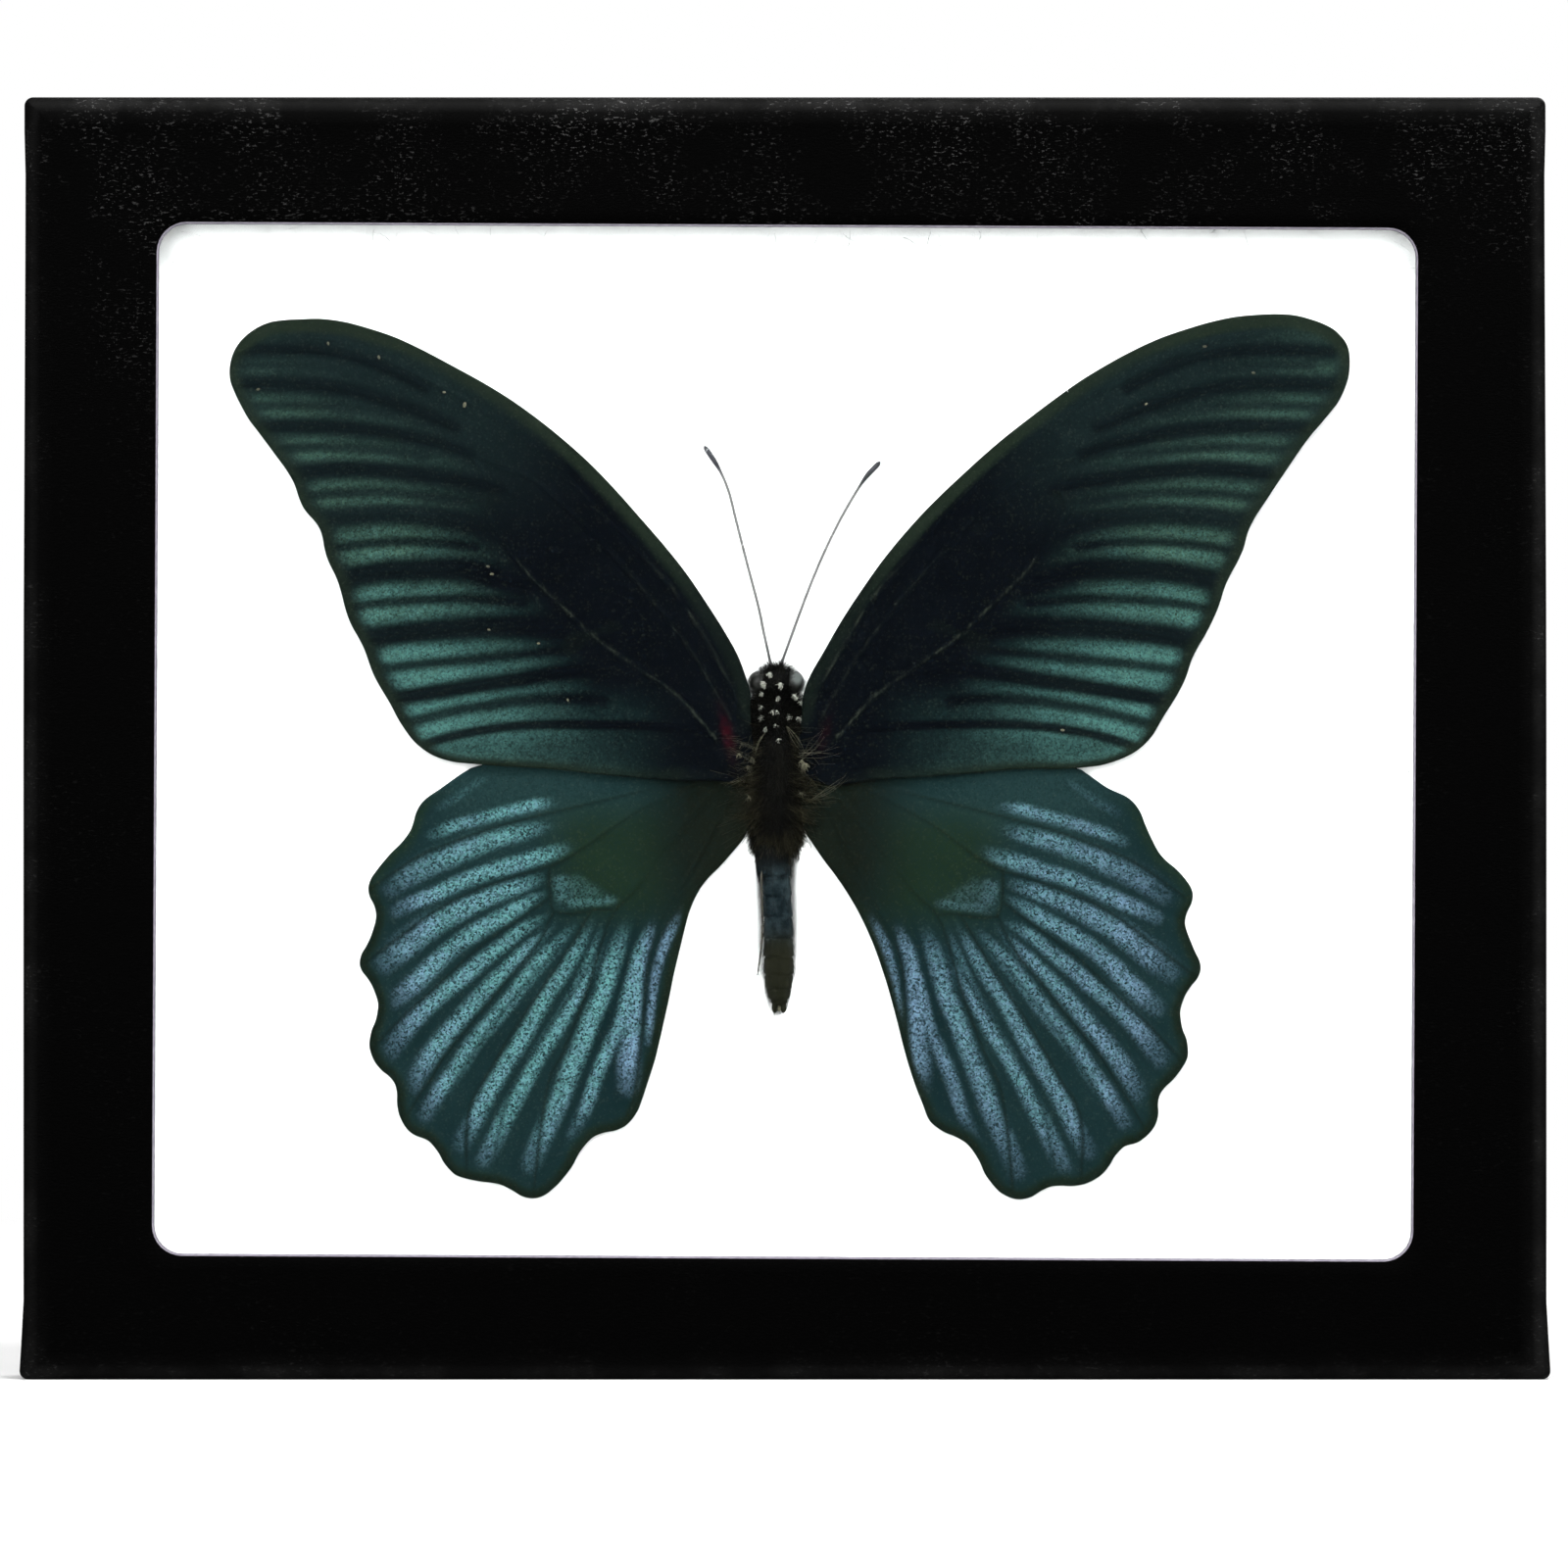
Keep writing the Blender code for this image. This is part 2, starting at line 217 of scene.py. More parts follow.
def lofted(name, rings, join_ends=False, cap_ends=False, bands=None):
    """A closed skin through rings of points; bands gives the material index between two rings."""
    skin = bmesh.new()
    made = [[skin.verts.new(p) for p in ring] for ring in rings]
    pairs = list(zip(made, made[1:])) + ([(made[-1], made[0])] if join_ends else [])
    for row, (near, far) in enumerate(pairs):
        for k in range(len(near)):
            k2 = (k + 1) % len(near)
            face = skin.faces.new((near[k], near[k2], far[k2], far[k]))
            face.material_index = bands[row] if bands else 0
            face.smooth = True
    if cap_ends:
        skin.faces.new(made[0])
        skin.faces.new(made[-1])
    bmesh.ops.recalc_face_normals(skin, faces=skin.faces)
    return mesh_of(name, skin)


def maths(tree, how, first, second, **settings):
    """Two values worked into one."""
    return node(tree, "ShaderNodeMath", {0: first, 1: second}, operation=how, **settings).outputs[0]


def group_of(name, inputs, outputs, kind="ShaderNodeTree"):
    """An empty node group with named inputs and outputs; returns it and what it is given."""
    made = bpy.data.node_groups.new(name, kind)
    for way, sockets in (("INPUT", inputs), ("OUTPUT", outputs)):
        for label, socket in sockets.items():
            made.interface.new_socket(label, in_out=way, socket_type="NodeSocket" + socket)
    return made, node(made, "NodeGroupInput").outputs


def paper_grain():
    """The embossed grain of case paper: short shallow creases that mostly run across the case."""
    grain, given = group_of("paper grain", {"Place": "Vector", "Crease length": "Float",
                                            "Crease width": "Float"},
                            {"Height": "Float", "Rub": "Float", "High spots": "Float"})
    long = maths(grain, "DIVIDE", 1.0, given["Crease length"])
    wide = maths(grain, "DIVIDE", 1.0, given["Crease width"])
    scale = node(grain, "ShaderNodeCombineXYZ", {0: long, 1: wide, 2: wide}).outputs[0]
    stretched = node(grain, "ShaderNodeVectorMath", {0: given["Place"], 1: scale},
                     operation="MULTIPLY").outputs[0]
    cells = node(grain, "ShaderNodeTexVoronoi", {"Vector": stretched, "Scale": 1.0, "Randomness": 1.0},
                 feature="SMOOTH_F1").outputs["Distance"]
    height = maths(grain, "ADD", cells, noise(grain, stretched, 2.3, 3.0))
    rub = ramp(grain, noise(grain, given["Place"], 90.0, 6.0, 0.7), 0.44, 0.66)
    spots = maths(grain, "MULTIPLY", ramp(grain, height, 1.13, 1.24), rub)
    node(grain, "NodeGroupOutput", {"Height": height, "Rub": rub, "High spots": spots})
    return grain


PAPER_GRAIN = paper_grain()


def stored(tree, name):
    """A value stored at each point of the piece."""
    return node(tree, "ShaderNodeAttribute", attribute_name=name).outputs["Fac"]


def bumped(tree, shader, height, distance, strength, **settings):
    """Gives a shader a bump."""
    bump = node(tree, "ShaderNodeBump", {"Height": height, "Distance": distance, "Strength": strength},
                **settings)
    tree.links.new(bump.outputs[0], shader.inputs["Normal"])


def grained_paper(name, colour, rubbed, crease_length, crease_width, depth, roughness, shine):
    """Black grained paper, greyer where its folded edges are rubbed and on the high spots of its grain. The
    grey on the high spots is partly rubbing and partly painted glints that stand in for lamp light catching
    the grain.
    """
    made, tree, shader, place = new_finish(name, roughness, shine)
    grain = node(tree, "ShaderNodeGroup", {"Place": place, "Crease length": crease_length,
                                           "Crease width": crease_width},
                 node_tree=PAPER_GRAIN).outputs
    edge = stored(tree, "edge")
    # Greyer rubbed edges; on the lid the edge mask also holds a painted highlight along the top fold.
    worn = maths(tree, "MULTIPLY", edge, ramp(tree, grain["Rub"], 0, 1, 0.10, 0.24))
    # Painted glints: grey on the high spots of the grain, standing in for lamp light, partly real rubbing.
    glint = maths(tree, "MULTIPLY", maths(tree, "ADD", stored(tree, "wear"), edge), grain["High spots"])
    tree.links.new(tint(tree, maths(tree, "MAXIMUM", worn, glint), colour, rubbed),
                   shader.inputs["Base Color"])
    tree.links.new(ramp(tree, grain["Rub"], 0, 1, roughness, roughness + 0.15), shader.inputs["Roughness"])
    bumped(tree, shader, grain["Height"], depth, 1.0)
    return made


def mark(mesh, name, value_at):
    """Stores a value at each point of a skin, such as how much it lies on a folded edge, from 0 to 1."""
    values = [value_at(v.co) for v in mesh.vertices]
    mesh.attributes.new(name, "FLOAT", "POINT").data.foreach_set("value", values)


tray_paper = grained_paper("tray paper", (0.006,) * 3, (0.05,) * 3, 0.5 * MM, 0.35 * MM, 0.04 * MM, 0.45,
                           0.3)
tray_low, tray_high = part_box("tray")
tray_half = ((tray_high.x - tray_low.x) / 2, (tray_high.z - tray_low.z) / 2)
tray_centre = ((tray_low.x + tray_high.x) / 2, (tray_low.z + tray_high.z) / 2)
mouth, back = tray_low.y, tray_high.y


def tray_ring(inset, y):
    around = rounded_rectangle(tray_half[0] - inset, tray_half[1] - inset,
                               max(TRAY_ROUNDING - inset, SHARPEST), tray_centre)
    return [(x, y, z) for x, z in around]


def tray_edge(p):
    """The rubbed fold round the back."""
    out = max(abs(p.x - tray_centre[0]) - tray_half[0], abs(p.z - tray_centre[1]) - tray_half[1])
    return 1.0 if back - 1.0 * MM < p.y < back - PAPER * 0.9 and out > -1.0 * MM else 0.0


rings = [tray_ring(PASTE_DOWN_INSET + 0.05 * MM, back - PAPER * 0.2),
         tray_ring(PASTE_DOWN_INSET, back - PAPER)]
for inset, step in ((1.5, 0.0), (0.9, 0.0), (0.6, 0.03), (0.3, 0.12), (0.1, 0.3), (0.0, 0.6), (0.0, 1.2),
                    (0.0, 7.0), (0.0, 14.4)):
    rings.append(tray_ring(inset * MM, back - PAPER - step * MM))
for inset, step in ((0.05, 0.12), (0.3, 0.0), (1.2, 0.0), (1.45, 0.12), (1.5, 0.4)):
    rings.append(tray_ring(inset * MM, mouth + step * MM))
rings.append(tray_ring(BOARD, back - BOARD - 0.3 * MM))
rings.append(tray_ring(BOARD + 0.3 * MM, back - BOARD))
tray_mesh = lofted("tray", rings, cap_ends=True)
mark(tray_mesh, "edge", tray_edge)
tray = object_of("case_tray", tray_mesh, tray_paper)
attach(tray, "root")
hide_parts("tray")


# The batting: a pad of white fibre that fills the tray. The butterfly is pressed into it, so it is
# lowest under the wings and body and swells up towards the glass around them.
SWELL = 1.5 * MM
PAD_STEP = 0.8 * MM
PAD_ROUNDING = 2.5 * MM
# Hollows under the body: half width, half height, middle above the wing roots and aside, and depth.
HOLLOWS = ((3.7, 10.5, -1.0, 0.0, 5.6), (2.15, 12.0, -14.6, 0.1, 3.2), (2.6, 2.0, 8.0, 0.0, 3.0))
# The lines of the antennae, in millimetres outwards and up, which lie in soft troughs of the batting.
ANTENNA_LEFT = ((0.5, 10.0), (1.2, 13.2), (1.8, 16.1), (3.0, 20.7), (4.1, 25.0), (4.9, 28.1), (5.9, 30.4),
                (7.4, 32.7))
ANTENNA_RIGHT = ((0.4, 10.0), (2.4, 15.5), (3.9, 19.4), (5.5, 23.0), (7.1, 26.1), (9.0, 29.2), (10.7, 31.1))

pad_low, pad_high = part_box("batting")
glass_low, glass_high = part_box("glass")
thorax_low, thorax_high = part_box("thorax")
BODY_X = (thorax_low.x + thorax_high.x) / 2
ROOT_Z = thorax_low.z + 8.6 * MM


def rim_of(name):
    """The outline of a flat CAD wing as points in X and Z, in order round its front face."""
    solid = bmesh.new()
    solid.from_mesh(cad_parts[name].data)
    bmesh.ops.remove_doubles(solid, verts=solid.verts, dist=1e-6)
    solid.verts.ensure_lookup_table()
    front = min(v.co.y for v in solid.verts)
    links = {}
    for e in solid.edges:
        on_front = all(abs(v.co.y - front) < 1e-6 for v in e.verts)
        if on_front and any(abs(f.normal.y) < 0.5 for f in e.link_faces):
            a, b = (v.index for v in e.verts)
            links.setdefault(a, []).append(b)
            links.setdefault(b, []).append(a)
    here = first = min(links)
    last = links[first][0]
    loop = []
    while not loop or here != first:
        loop.append((solid.verts[here].co.x, solid.verts[here].co.z))
        ahead = links[here][1] if links[here][0] == last else links[here][0]
        last, here = here, ahead
    solid.free()
    return np.array(loop)


def smooth_line(points, step, closed=False):
    """Points at an even step along a smooth curve through the given points."""
    p = np.array(points, float)
    if closed:
        p = np.vstack([p[-1], p, p[0], p[1]])
    else:
        p = np.vstack([2 * p[0] - p[1], p, 2 * p[-1] - p[-2]])
    out = []
    for a, b, c, d in zip(p, p[1:], p[2:], p[3:]):
        for t in np.linspace(0, 1, 12, endpoint=False):
            bend = (2 * a - 5 * b + 4 * c - d) * t * t + (3 * b - a - 3 * c + d) * t ** 3
            out.append(0.5 * (2 * b + (c - a) * t + bend))
    out.append(p[-2])
    out = np.array(out)
    run = np.concatenate([[0], np.cumsum(np.linalg.norm(np.diff(out, axis=0), axis=1))])
    count = max(int(round(run[-1] / step)), 2)
    at = np.linspace(0, run[-1], count + 1)
    even = np.column_stack([np.interp(at, run, out[:, k]) for k in range(out.shape[1])])
    return even[:-1] if closed else even


def nearest(points, line, closed=False):
    """For each point: its distance to a line, how far along the line that is (0 to 1), and its side."""
    a = np.array(line)
    b = np.roll(a, -1, axis=0) if closed else a[1:]
    a = a if closed else a[:-1]
    way = b - a
    length = (way ** 2).sum(1)
    best = np.full(len(points), 1e9)
    along = np.zeros(len(points))
    side = np.zeros(len(points))
    for k in range(len(a)):
        off = points - a[k]
        t = np.clip((off @ way[k]) / max(length[k], 1e-12), 0, 1)
        gap = off - t[:, None] * way[k]
        d = (gap ** 2).sum(1)
        closer = d < best
        best[closer] = d[closer]
        along[closer] = (k + t[closer]) / len(a)
        side[closer] = np.sign(way[k][0] * off[closer, 1] - way[k][1] * off[closer, 0])
    return np.sqrt(best), along, side


def inside(points, rim):
    """True for each point that lies inside a closed rim."""
    found = np.zeros(len(points), bool)
    for (x1, z1), (x2, z2) in zip(rim, np.roll(rim, -1, axis=0)):
        if z1 != z2:
            crossing = (points[:, 1] > z1) != (points[:, 1] > z2)
            found ^= crossing & (points[:, 0] < (x2 - x1) * (points[:, 1] - z1) / (z2 - z1) + x1)
    return found


def step_up(low, high, value):
    """Rises smoothly from 0 at low to 1 at high."""
    t = np.clip((value - low) / (high - low), 0, 1)
    return t * t * (3 - 2 * t)


WINGS = ("forewing_left", "forewing_right", "hindwing_left", "hindwing_right")
rims = {name: rim_of(name) for name in WINGS}
columns = int((pad_high.x - pad_low.x) / PAD_STEP)
rows = int((pad_high.z - pad_low.z) / PAD_STEP)
gx, gz = np.meshgrid(np.linspace(pad_low.x, pad_high.x, columns + 1),
                     np.linspace(pad_low.z, pad_high.z, rows + 1))
spots = np.column_stack([gx.ravel(), gz.ravel()])
clear_of_wings = np.full(len(spots), 1.0)
for rim in rims.values():
    away = nearest(spots, rim[::2], closed=True)[0]
    away[inside(spots, rim)] = 0
    clear_of_wings = np.minimum(clear_of_wings, away)
body_away = np.hypot((spots[:, 0] - BODY_X) / (2.6 * MM), (spots[:, 1] - (ROOT_Z - 8.5 * MM)) / (18 * MM))
swell = SWELL * step_up(0.3 * MM, 5 * MM, clear_of_wings) * step_up(1.0, 1.8, body_away)
rng = np.random.default_rng(7)
lumps = np.zeros(len(spots))
for _ in range(60):
    angle, wave, shift = rng.uniform(0, 2 * math.pi), rng.uniform(3, 14) * MM, rng.uniform(0, 2 * math.pi)
    run = spots[:, 0] * math.cos(angle) + spots[:, 1] * math.sin(angle)
    lumps += np.cos(run * 2 * math.pi / wave + shift) / 60
edge_gap = np.minimum(np.minimum(spots[:, 0] - pad_low.x, pad_high.x - spots[:, 0]),
                      np.minimum(spots[:, 1] - pad_low.z, pad_high.z - spots[:, 1]))
drop = 1.2 * MM * (1 - step_up(0, PAD_ROUNDING, edge_gap))
dent = np.zeros(len(spots))
for half_wide, half_tall, middle_up, sideways, deep in HOLLOWS:
    hollow = 1 - ((spots[:, 0] - BODY_X - sideways * MM) / (half_wide * MM)) ** 2 \
        - ((spots[:, 1] - ROOT_Z - middle_up * MM) / (half_tall * MM)) ** 2
    dent = np.maximum(dent, deep * MM * np.sqrt(np.clip(hollow, 0, 1)))
lumps *= 0.45 * MM * (0.4 + step_up(0, 4 * MM, clear_of_wings))
pad_y = pad_low.y + 0.1 * MM - swell - lumps + drop + dent
antenna_low, antenna_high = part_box("antenna_left")
antenna_level = (antenna_low.y + antenna_high.y) / 2
antenna_away = np.full(len(spots), 1.0)
for side, line in ((-1, ANTENNA_LEFT), (1, ANTENNA_RIGHT)):
    laid = smooth_line([(BODY_X + side * across * MM, ROOT_Z + up * MM) for across, up in line], 1.0 * MM)
    antenna_away = np.minimum(antenna_away, nearest(spots, laid)[0])
pad_y = np.maximum(pad_y, antenna_level + 0.12 * MM - 0.35 * np.maximum(antenna_away - 1.0 * MM, 0))

pad = bmesh.new()
top = [pad.verts.new((x, y, z)) for (x, z), y in zip(spots, pad_y)]
wide = columns + 1
for r in range(rows):
    for c in range(columns):
        k = r * wide + c
        pad.faces.new((top[k], top[k + 1], top[k + wide + 1], top[k + wide])).smooth = True
border = list(range(wide)) + [(r + 1) * wide - 1 for r in range(1, rows + 1)]
border += [rows * wide + c for c in range(columns - 1, -1, -1)] + [r * wide for r in range(rows - 1, 0, -1)]
near = rim = [top[k] for k in border]
for depth, inset in ((0.35, 0.0), (0.7, 0.0), (1.0, 0.5 * MM)):
    far = []
    for x, y, z in (v.co for v in rim):
        x += math.copysign(inset, -x)
        z += math.copysign(inset, (pad_low.z + pad_high.z) / 2 - z)
        far.append(pad.verts.new((x, y + (pad_high.y - y) * depth, z)))
    for k in range(len(near)):
        k2 = (k + 1) % len(near)
        pad.faces.new((near[k], far[k], far[k2], near[k2])).smooth = True
    near = far
pad.faces.new(near)
bmesh.ops.recalc_face_normals(pad, faces=pad.faces)
pad_mesh = mesh_of("batting", pad)

fibre_white, tree, shader, place = new_finish("white fibre", 1.0, 0.1)
wool = noise(tree, place, 900.0, 6.0, 0.65, 1.5)
tree.links.new(tint(tree, wool, (0.90, 0.92, 0.91), (0.96, 0.97, 0.97)), shader.inputs["Base Color"])
bumped(tree, shader, maths(tree, "ADD", wool, noise(tree, place, 120.0, 3.0)), 0.12 * MM, 0.7)
shader.inputs["Sheen Weight"].default_value = 0.3
batting = object_of("fibre_batting", pad_mesh, fibre_white)
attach(batting, "root")
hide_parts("batting")


def growing(name, finish, steps=4, sides=3):
    """Geometry nodes that grow hairs from a surface. The surface's "comb" arrows say how they lie."""
    sizes = {label: "Float" for label in ("Hairs per area", "Length", "Thickness", "Bend", "Spread")}
    tree, given = group_of(name, {"Surface": "Geometry", **sizes, "Seed": "Int"}, {"Hair": "Geometry"},
                           "GeometryNodeTree")

    def laid(label, kind):
        return node(tree, "GeometryNodeInputNamedAttribute", {"Name": label},
                    data_type=kind).outputs["Attribute"]

    def chance(low, high, kind="FLOAT"):
        first, out = (2, 1) if kind == "FLOAT" else (0, 0)
        return node(tree, "FunctionNodeRandomValue", {first: low, first + 1: high, "Seed": given["Seed"]},
                    data_type=kind).outputs[out]

    amount = maths(tree, "MULTIPLY", given["Hairs per area"], laid("dense", "FLOAT"))
    roots = node(tree, "GeometryNodeDistributePointsOnFaces",
                 {"Mesh": given["Surface"], "Density": amount, "Seed": given["Seed"]},
                 distribute_method="RANDOM")
    tip = node(tree, "ShaderNodeCombineXYZ", {0: given["Bend"], 2: 1.0})
    arc = node(tree, "GeometryNodeCurveQuadraticBezier",
               {"Resolution": steps, "Start": (0, 0, 0), "Middle": (0, 0, 0.55), "End": tip.outputs[0]})
    part = node(tree, "GeometryNodeSplineParameter").outputs["Factor"]
    arc = node(tree, "GeometryNodeSetCurveRadius", {"Curve": arc.outputs[0],
                                                    "Radius": ramp(tree, part, 0, 1, 1.0, 0.12)})
    thin = maths(tree, "DIVIDE", given["Thickness"], given["Length"])
    section = node(tree, "GeometryNodeCurvePrimitiveCircle", {"Resolution": sides, "Radius": thin})
    hair = node(tree, "GeometryNodeCurveToMesh",
                {"Curve": arc.outputs[0], "Profile Curve": section.outputs[0], "Fill Caps": True})
    stray = chance((-1, -1, -1), (1, 1, 1), "FLOAT_VECTOR")
    wide = node(tree, "ShaderNodeVectorMath", {0: stray, "Scale": given["Spread"]}, operation="SCALE")
    lie = node(tree, "ShaderNodeVectorMath", {0: laid("comb", "FLOAT_VECTOR"), 1: wide.outputs[0]},
               operation="ADD")
    stand = node(tree, "FunctionNodeAlignRotationToVector", {"Vector": lie.outputs[0]}, axis="Z")
    about = node(tree, "ShaderNodeCombineXYZ", {2: chance(0.0, 6.283)})
    turned = node(tree, "FunctionNodeRotateRotation", {"Rotation": stand.outputs[0],
                                                       "Rotate By": about.outputs[0]},
                  rotation_space="LOCAL")
    short, long = (maths(tree, "MULTIPLY", given["Length"], share) for share in (0.55, 1.15))
    planted = node(tree, "GeometryNodeInstanceOnPoints",
                   {"Points": roots.outputs["Points"], "Instance": hair.outputs[0],
                    "Rotation": turned.outputs[0],
                    "Scale": chance(short, long)})
    whole = node(tree, "GeometryNodeRealizeInstances", {0: planted.outputs[0]})
    dressed = node(tree, "GeometryNodeSetMaterial", {"Geometry": whole.outputs[0], "Material": finish})
    node(tree, "NodeGroupOutput", {"Hair": dressed.outputs[0]})
    return tree


def grown(name, skin, finish, comb_at, dense_at, press, growth, steps=4):
    """Grows hairs from a skin and keeps them as a plain mesh; press is where the glass stops them. The
    growth is the hairs for each square metre, their length, thickness, bend and spread, and the seed."""
    lie = [c for v in skin.vertices for c in comb_at(v)]
    close = [dense_at(v) for v in skin.vertices]
    skin.attributes.new("comb", "FLOAT_VECTOR", "POINT").data.foreach_set("vector", lie)
    skin.attributes.new("dense", "FLOAT", "POINT").data.foreach_set("value", close)
    amount, length, thick, bend, spread, seed = growth
    settings = {"Hairs per area": amount, "Length": length * MM, "Thickness": thick * MM, "Bend": bend,
                "Spread": spread, "Seed": seed}
    made = object_of(name, skin)
    growth = made.modifiers.new("growth", "NODES")
    growth.node_group = growing(name, finish, steps)
    for item in growth.node_group.interface.items_tree:
        if item.in_out == "INPUT" and item.name in settings:
            growth[item.identifier] = settings[item.name]
    seen = bpy.context.evaluated_depsgraph_get()
    mesh = bpy.data.meshes.new_from_object(made.evaluated_get(seen), depsgraph=seen)
    made.modifiers.clear()
    made.data = mesh
    for v in mesh.vertices:
        v.co.y = max(v.co.y, press)
    for f in mesh.polygons:
        f.use_smooth = True
    mesh.name = name
    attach(made, "root")
    return made


def loose_dense(v):
    """Loose fibres stand well clear of the wings, the body and the antennae."""
    if v.index >= len(spots):
        return 0.0
    clear = step_up(2.6 * MM, 5 * MM, clear_of_wings[v.index]) * step_up(1.6, 2.4, body_away[v.index])
    return float(clear * step_up(0.8 * MM, 2.5 * MM, antenna_away[v.index]))


rng = random.Random(3)
loose = grown("loose_fibres", pad_mesh.copy(), fibre_white, lambda v: (rng.uniform(-1, 1), -0.12,
                                                                       rng.uniform(-1, 1)),
              loose_dense, glass_high.y + 0.05 * MM, (2.6e5, 3.2, 0.022, 0.5, 0.25, 5))


# The four wings: dry membranes stiffened by raised veins and creased by a fold between each two,
# covered in dusty scales. Blue-green scales lie in streaks between the dark veins and folds. Each
# wing is measured in millimetres: across, outwards from the middle of the body, and up from its root.
MEMBRANE = 0.10
SKIN_STEP = 0.25
RIDGE_HEIGHT, RIDGE_WIDTH = 0.11, 0.17
FOLD_DEPTH, FOLD_WIDTH = 0.10, 0.55
STAIN_MIDDLE = (5.45, 4.9)

# Forewing veins and folds, from the cell in the middle of the wing to its outer edge: the line, and
# how far the dark band beside it reaches.
FOREWING_VEINS = (
    (((36, 38.6), (41, 41.0), (46, 42.3), (51, 42.6), (57, 42.3)), 0.9),
    (((33, 34.6), (37, 36.3), (40, 37.3), (43, 38.2), (46, 38.8), (49, 39.0), (52, 39.1), (57.5, 38.9)),
     1.1),
    (((31.5, 31.9), (34.5, 32.9), (38, 33.7), (41, 34.2), (45, 34.6), (48.5, 34.7), (52.5, 34.6),
     (56, 34.3)), 1.0),
    (((28.5, 28.2), (31, 28.9), (34, 29.4), (37, 29.8), (40, 30.1), (43, 30.3), (46.5, 30.2), (53, 29.5)),
     1.05),
    (((29, 24.0), (31, 24.7), (34, 25.3), (37, 25.6), (40, 25.7), (43, 25.5), (46, 25.2), (51, 24.4)), 1.1),
    (((25.5, 18.3), (28, 18.9), (30, 19.5), (32, 20.0), (35, 20.0), (37.5, 19.9), (40, 19.8), (42.5, 19.4),
     (47.5, 18.2)), 1.25),
    (((20.5, 13.5), (22.5, 13.9), (25, 14.1), (28, 14.1), (31, 14.0), (34.5, 13.8), (37.5, 13.5),
     (40, 13.2), (45, 12.3)), 1.25),
    (((15.5, 9.6), (19, 9.7), (21.8, 9.4), (24.7, 9.0), (27, 8.6), (30, 8.2), (32.5, 7.8), (35, 7.4),
     (37.5, 7.0), (42, 6.2)), 0.85),
    (((5, 3.0), (10.8, 3.8), (15, 4.0), (20.4, 4.1), (23.3, 4.1), (25.5, 4.0), (28, 3.8), (30, 3.5),
     (32.3, 3.1), (35, 2.4), (38, 1.3)), 0.5),
)
FOREWING_FOLDS = (
    (((45, 40.4), (50, 40.9), (55, 40.9)), 0.35),
    (((39, 35.8), (43.5, 36.4), (46, 36.7), (50, 36.8), (56, 36.6)), 0.4),
    (((36, 31.6), (39, 32.0), (42, 32.3), (45.5, 32.5), (48, 32.5), (54, 32.1)), 0.4),
    (((32, 26.9), (35, 27.4), (38, 27.7), (41, 27.9), (44.5, 27.8), (47, 27.6), (52, 26.9)), 0.4),
    (((31, 22.3), (34.3, 22.7), (38.4, 22.8), (42, 22.6), (45, 22.2), (49, 21.4)), 0.38),
    (((26, 16.5), (29, 16.8), (31.8, 17.0), (34.5, 16.95), (37.2, 16.8), (40, 16.6), (42.3, 16.3),
     (47, 15.4)), 0.4),
    (((18.5, 12.2), (20.8, 11.8), (23.3, 11.6), (25.8, 11.3), (28.2, 11.1), (30.5, 10.8), (34, 10.5),
     (38, 10.1), (44, 9.3)), 0.42),
    (((17.9, 6.5), (20, 6.7), (22.4, 6.7), (25, 6.6), (27.3, 6.4), (29.8, 6.0), (32.4, 5.6), (35, 5.0),
     (37.5, 4.3), (41, 3.3)), 0.45),
)
FOREWING_CELL = (
    ((6.2, 2.7), (10, 6.9), (13.3, 9.3), (16.8, 11.7), (18.3, 12.8), (20.5, 14.8), (23, 17.2),
     (25.5, 19.6), (27.4, 22.2), (28.9, 24.2), (29.8, 26.4), (29.2, 28.6), (31.5, 31.9)),
    ((3.6, 6.0), (6.5, 11.6), (10.2, 17.5), (13.4, 21.0), (18, 26.2), (23, 31.2), (28, 35.0), (36, 39.6),
     (44, 43.2), (50, 44.3)),
    ((4.6, 4.6), (9, 12.0), (15, 19.5), (21, 25.7), (26, 29.8), (31.5, 31.9)),
)
SCALES_BEGIN = ((13, -3), (15, 2), (18.5, 6), (20.5, 10), (22.5, 13), (25.5, 17), (28, 20), (30, 24),
                (31.5, 28), (33.5, 32), (38, 36), (44, 39), (52, 46))

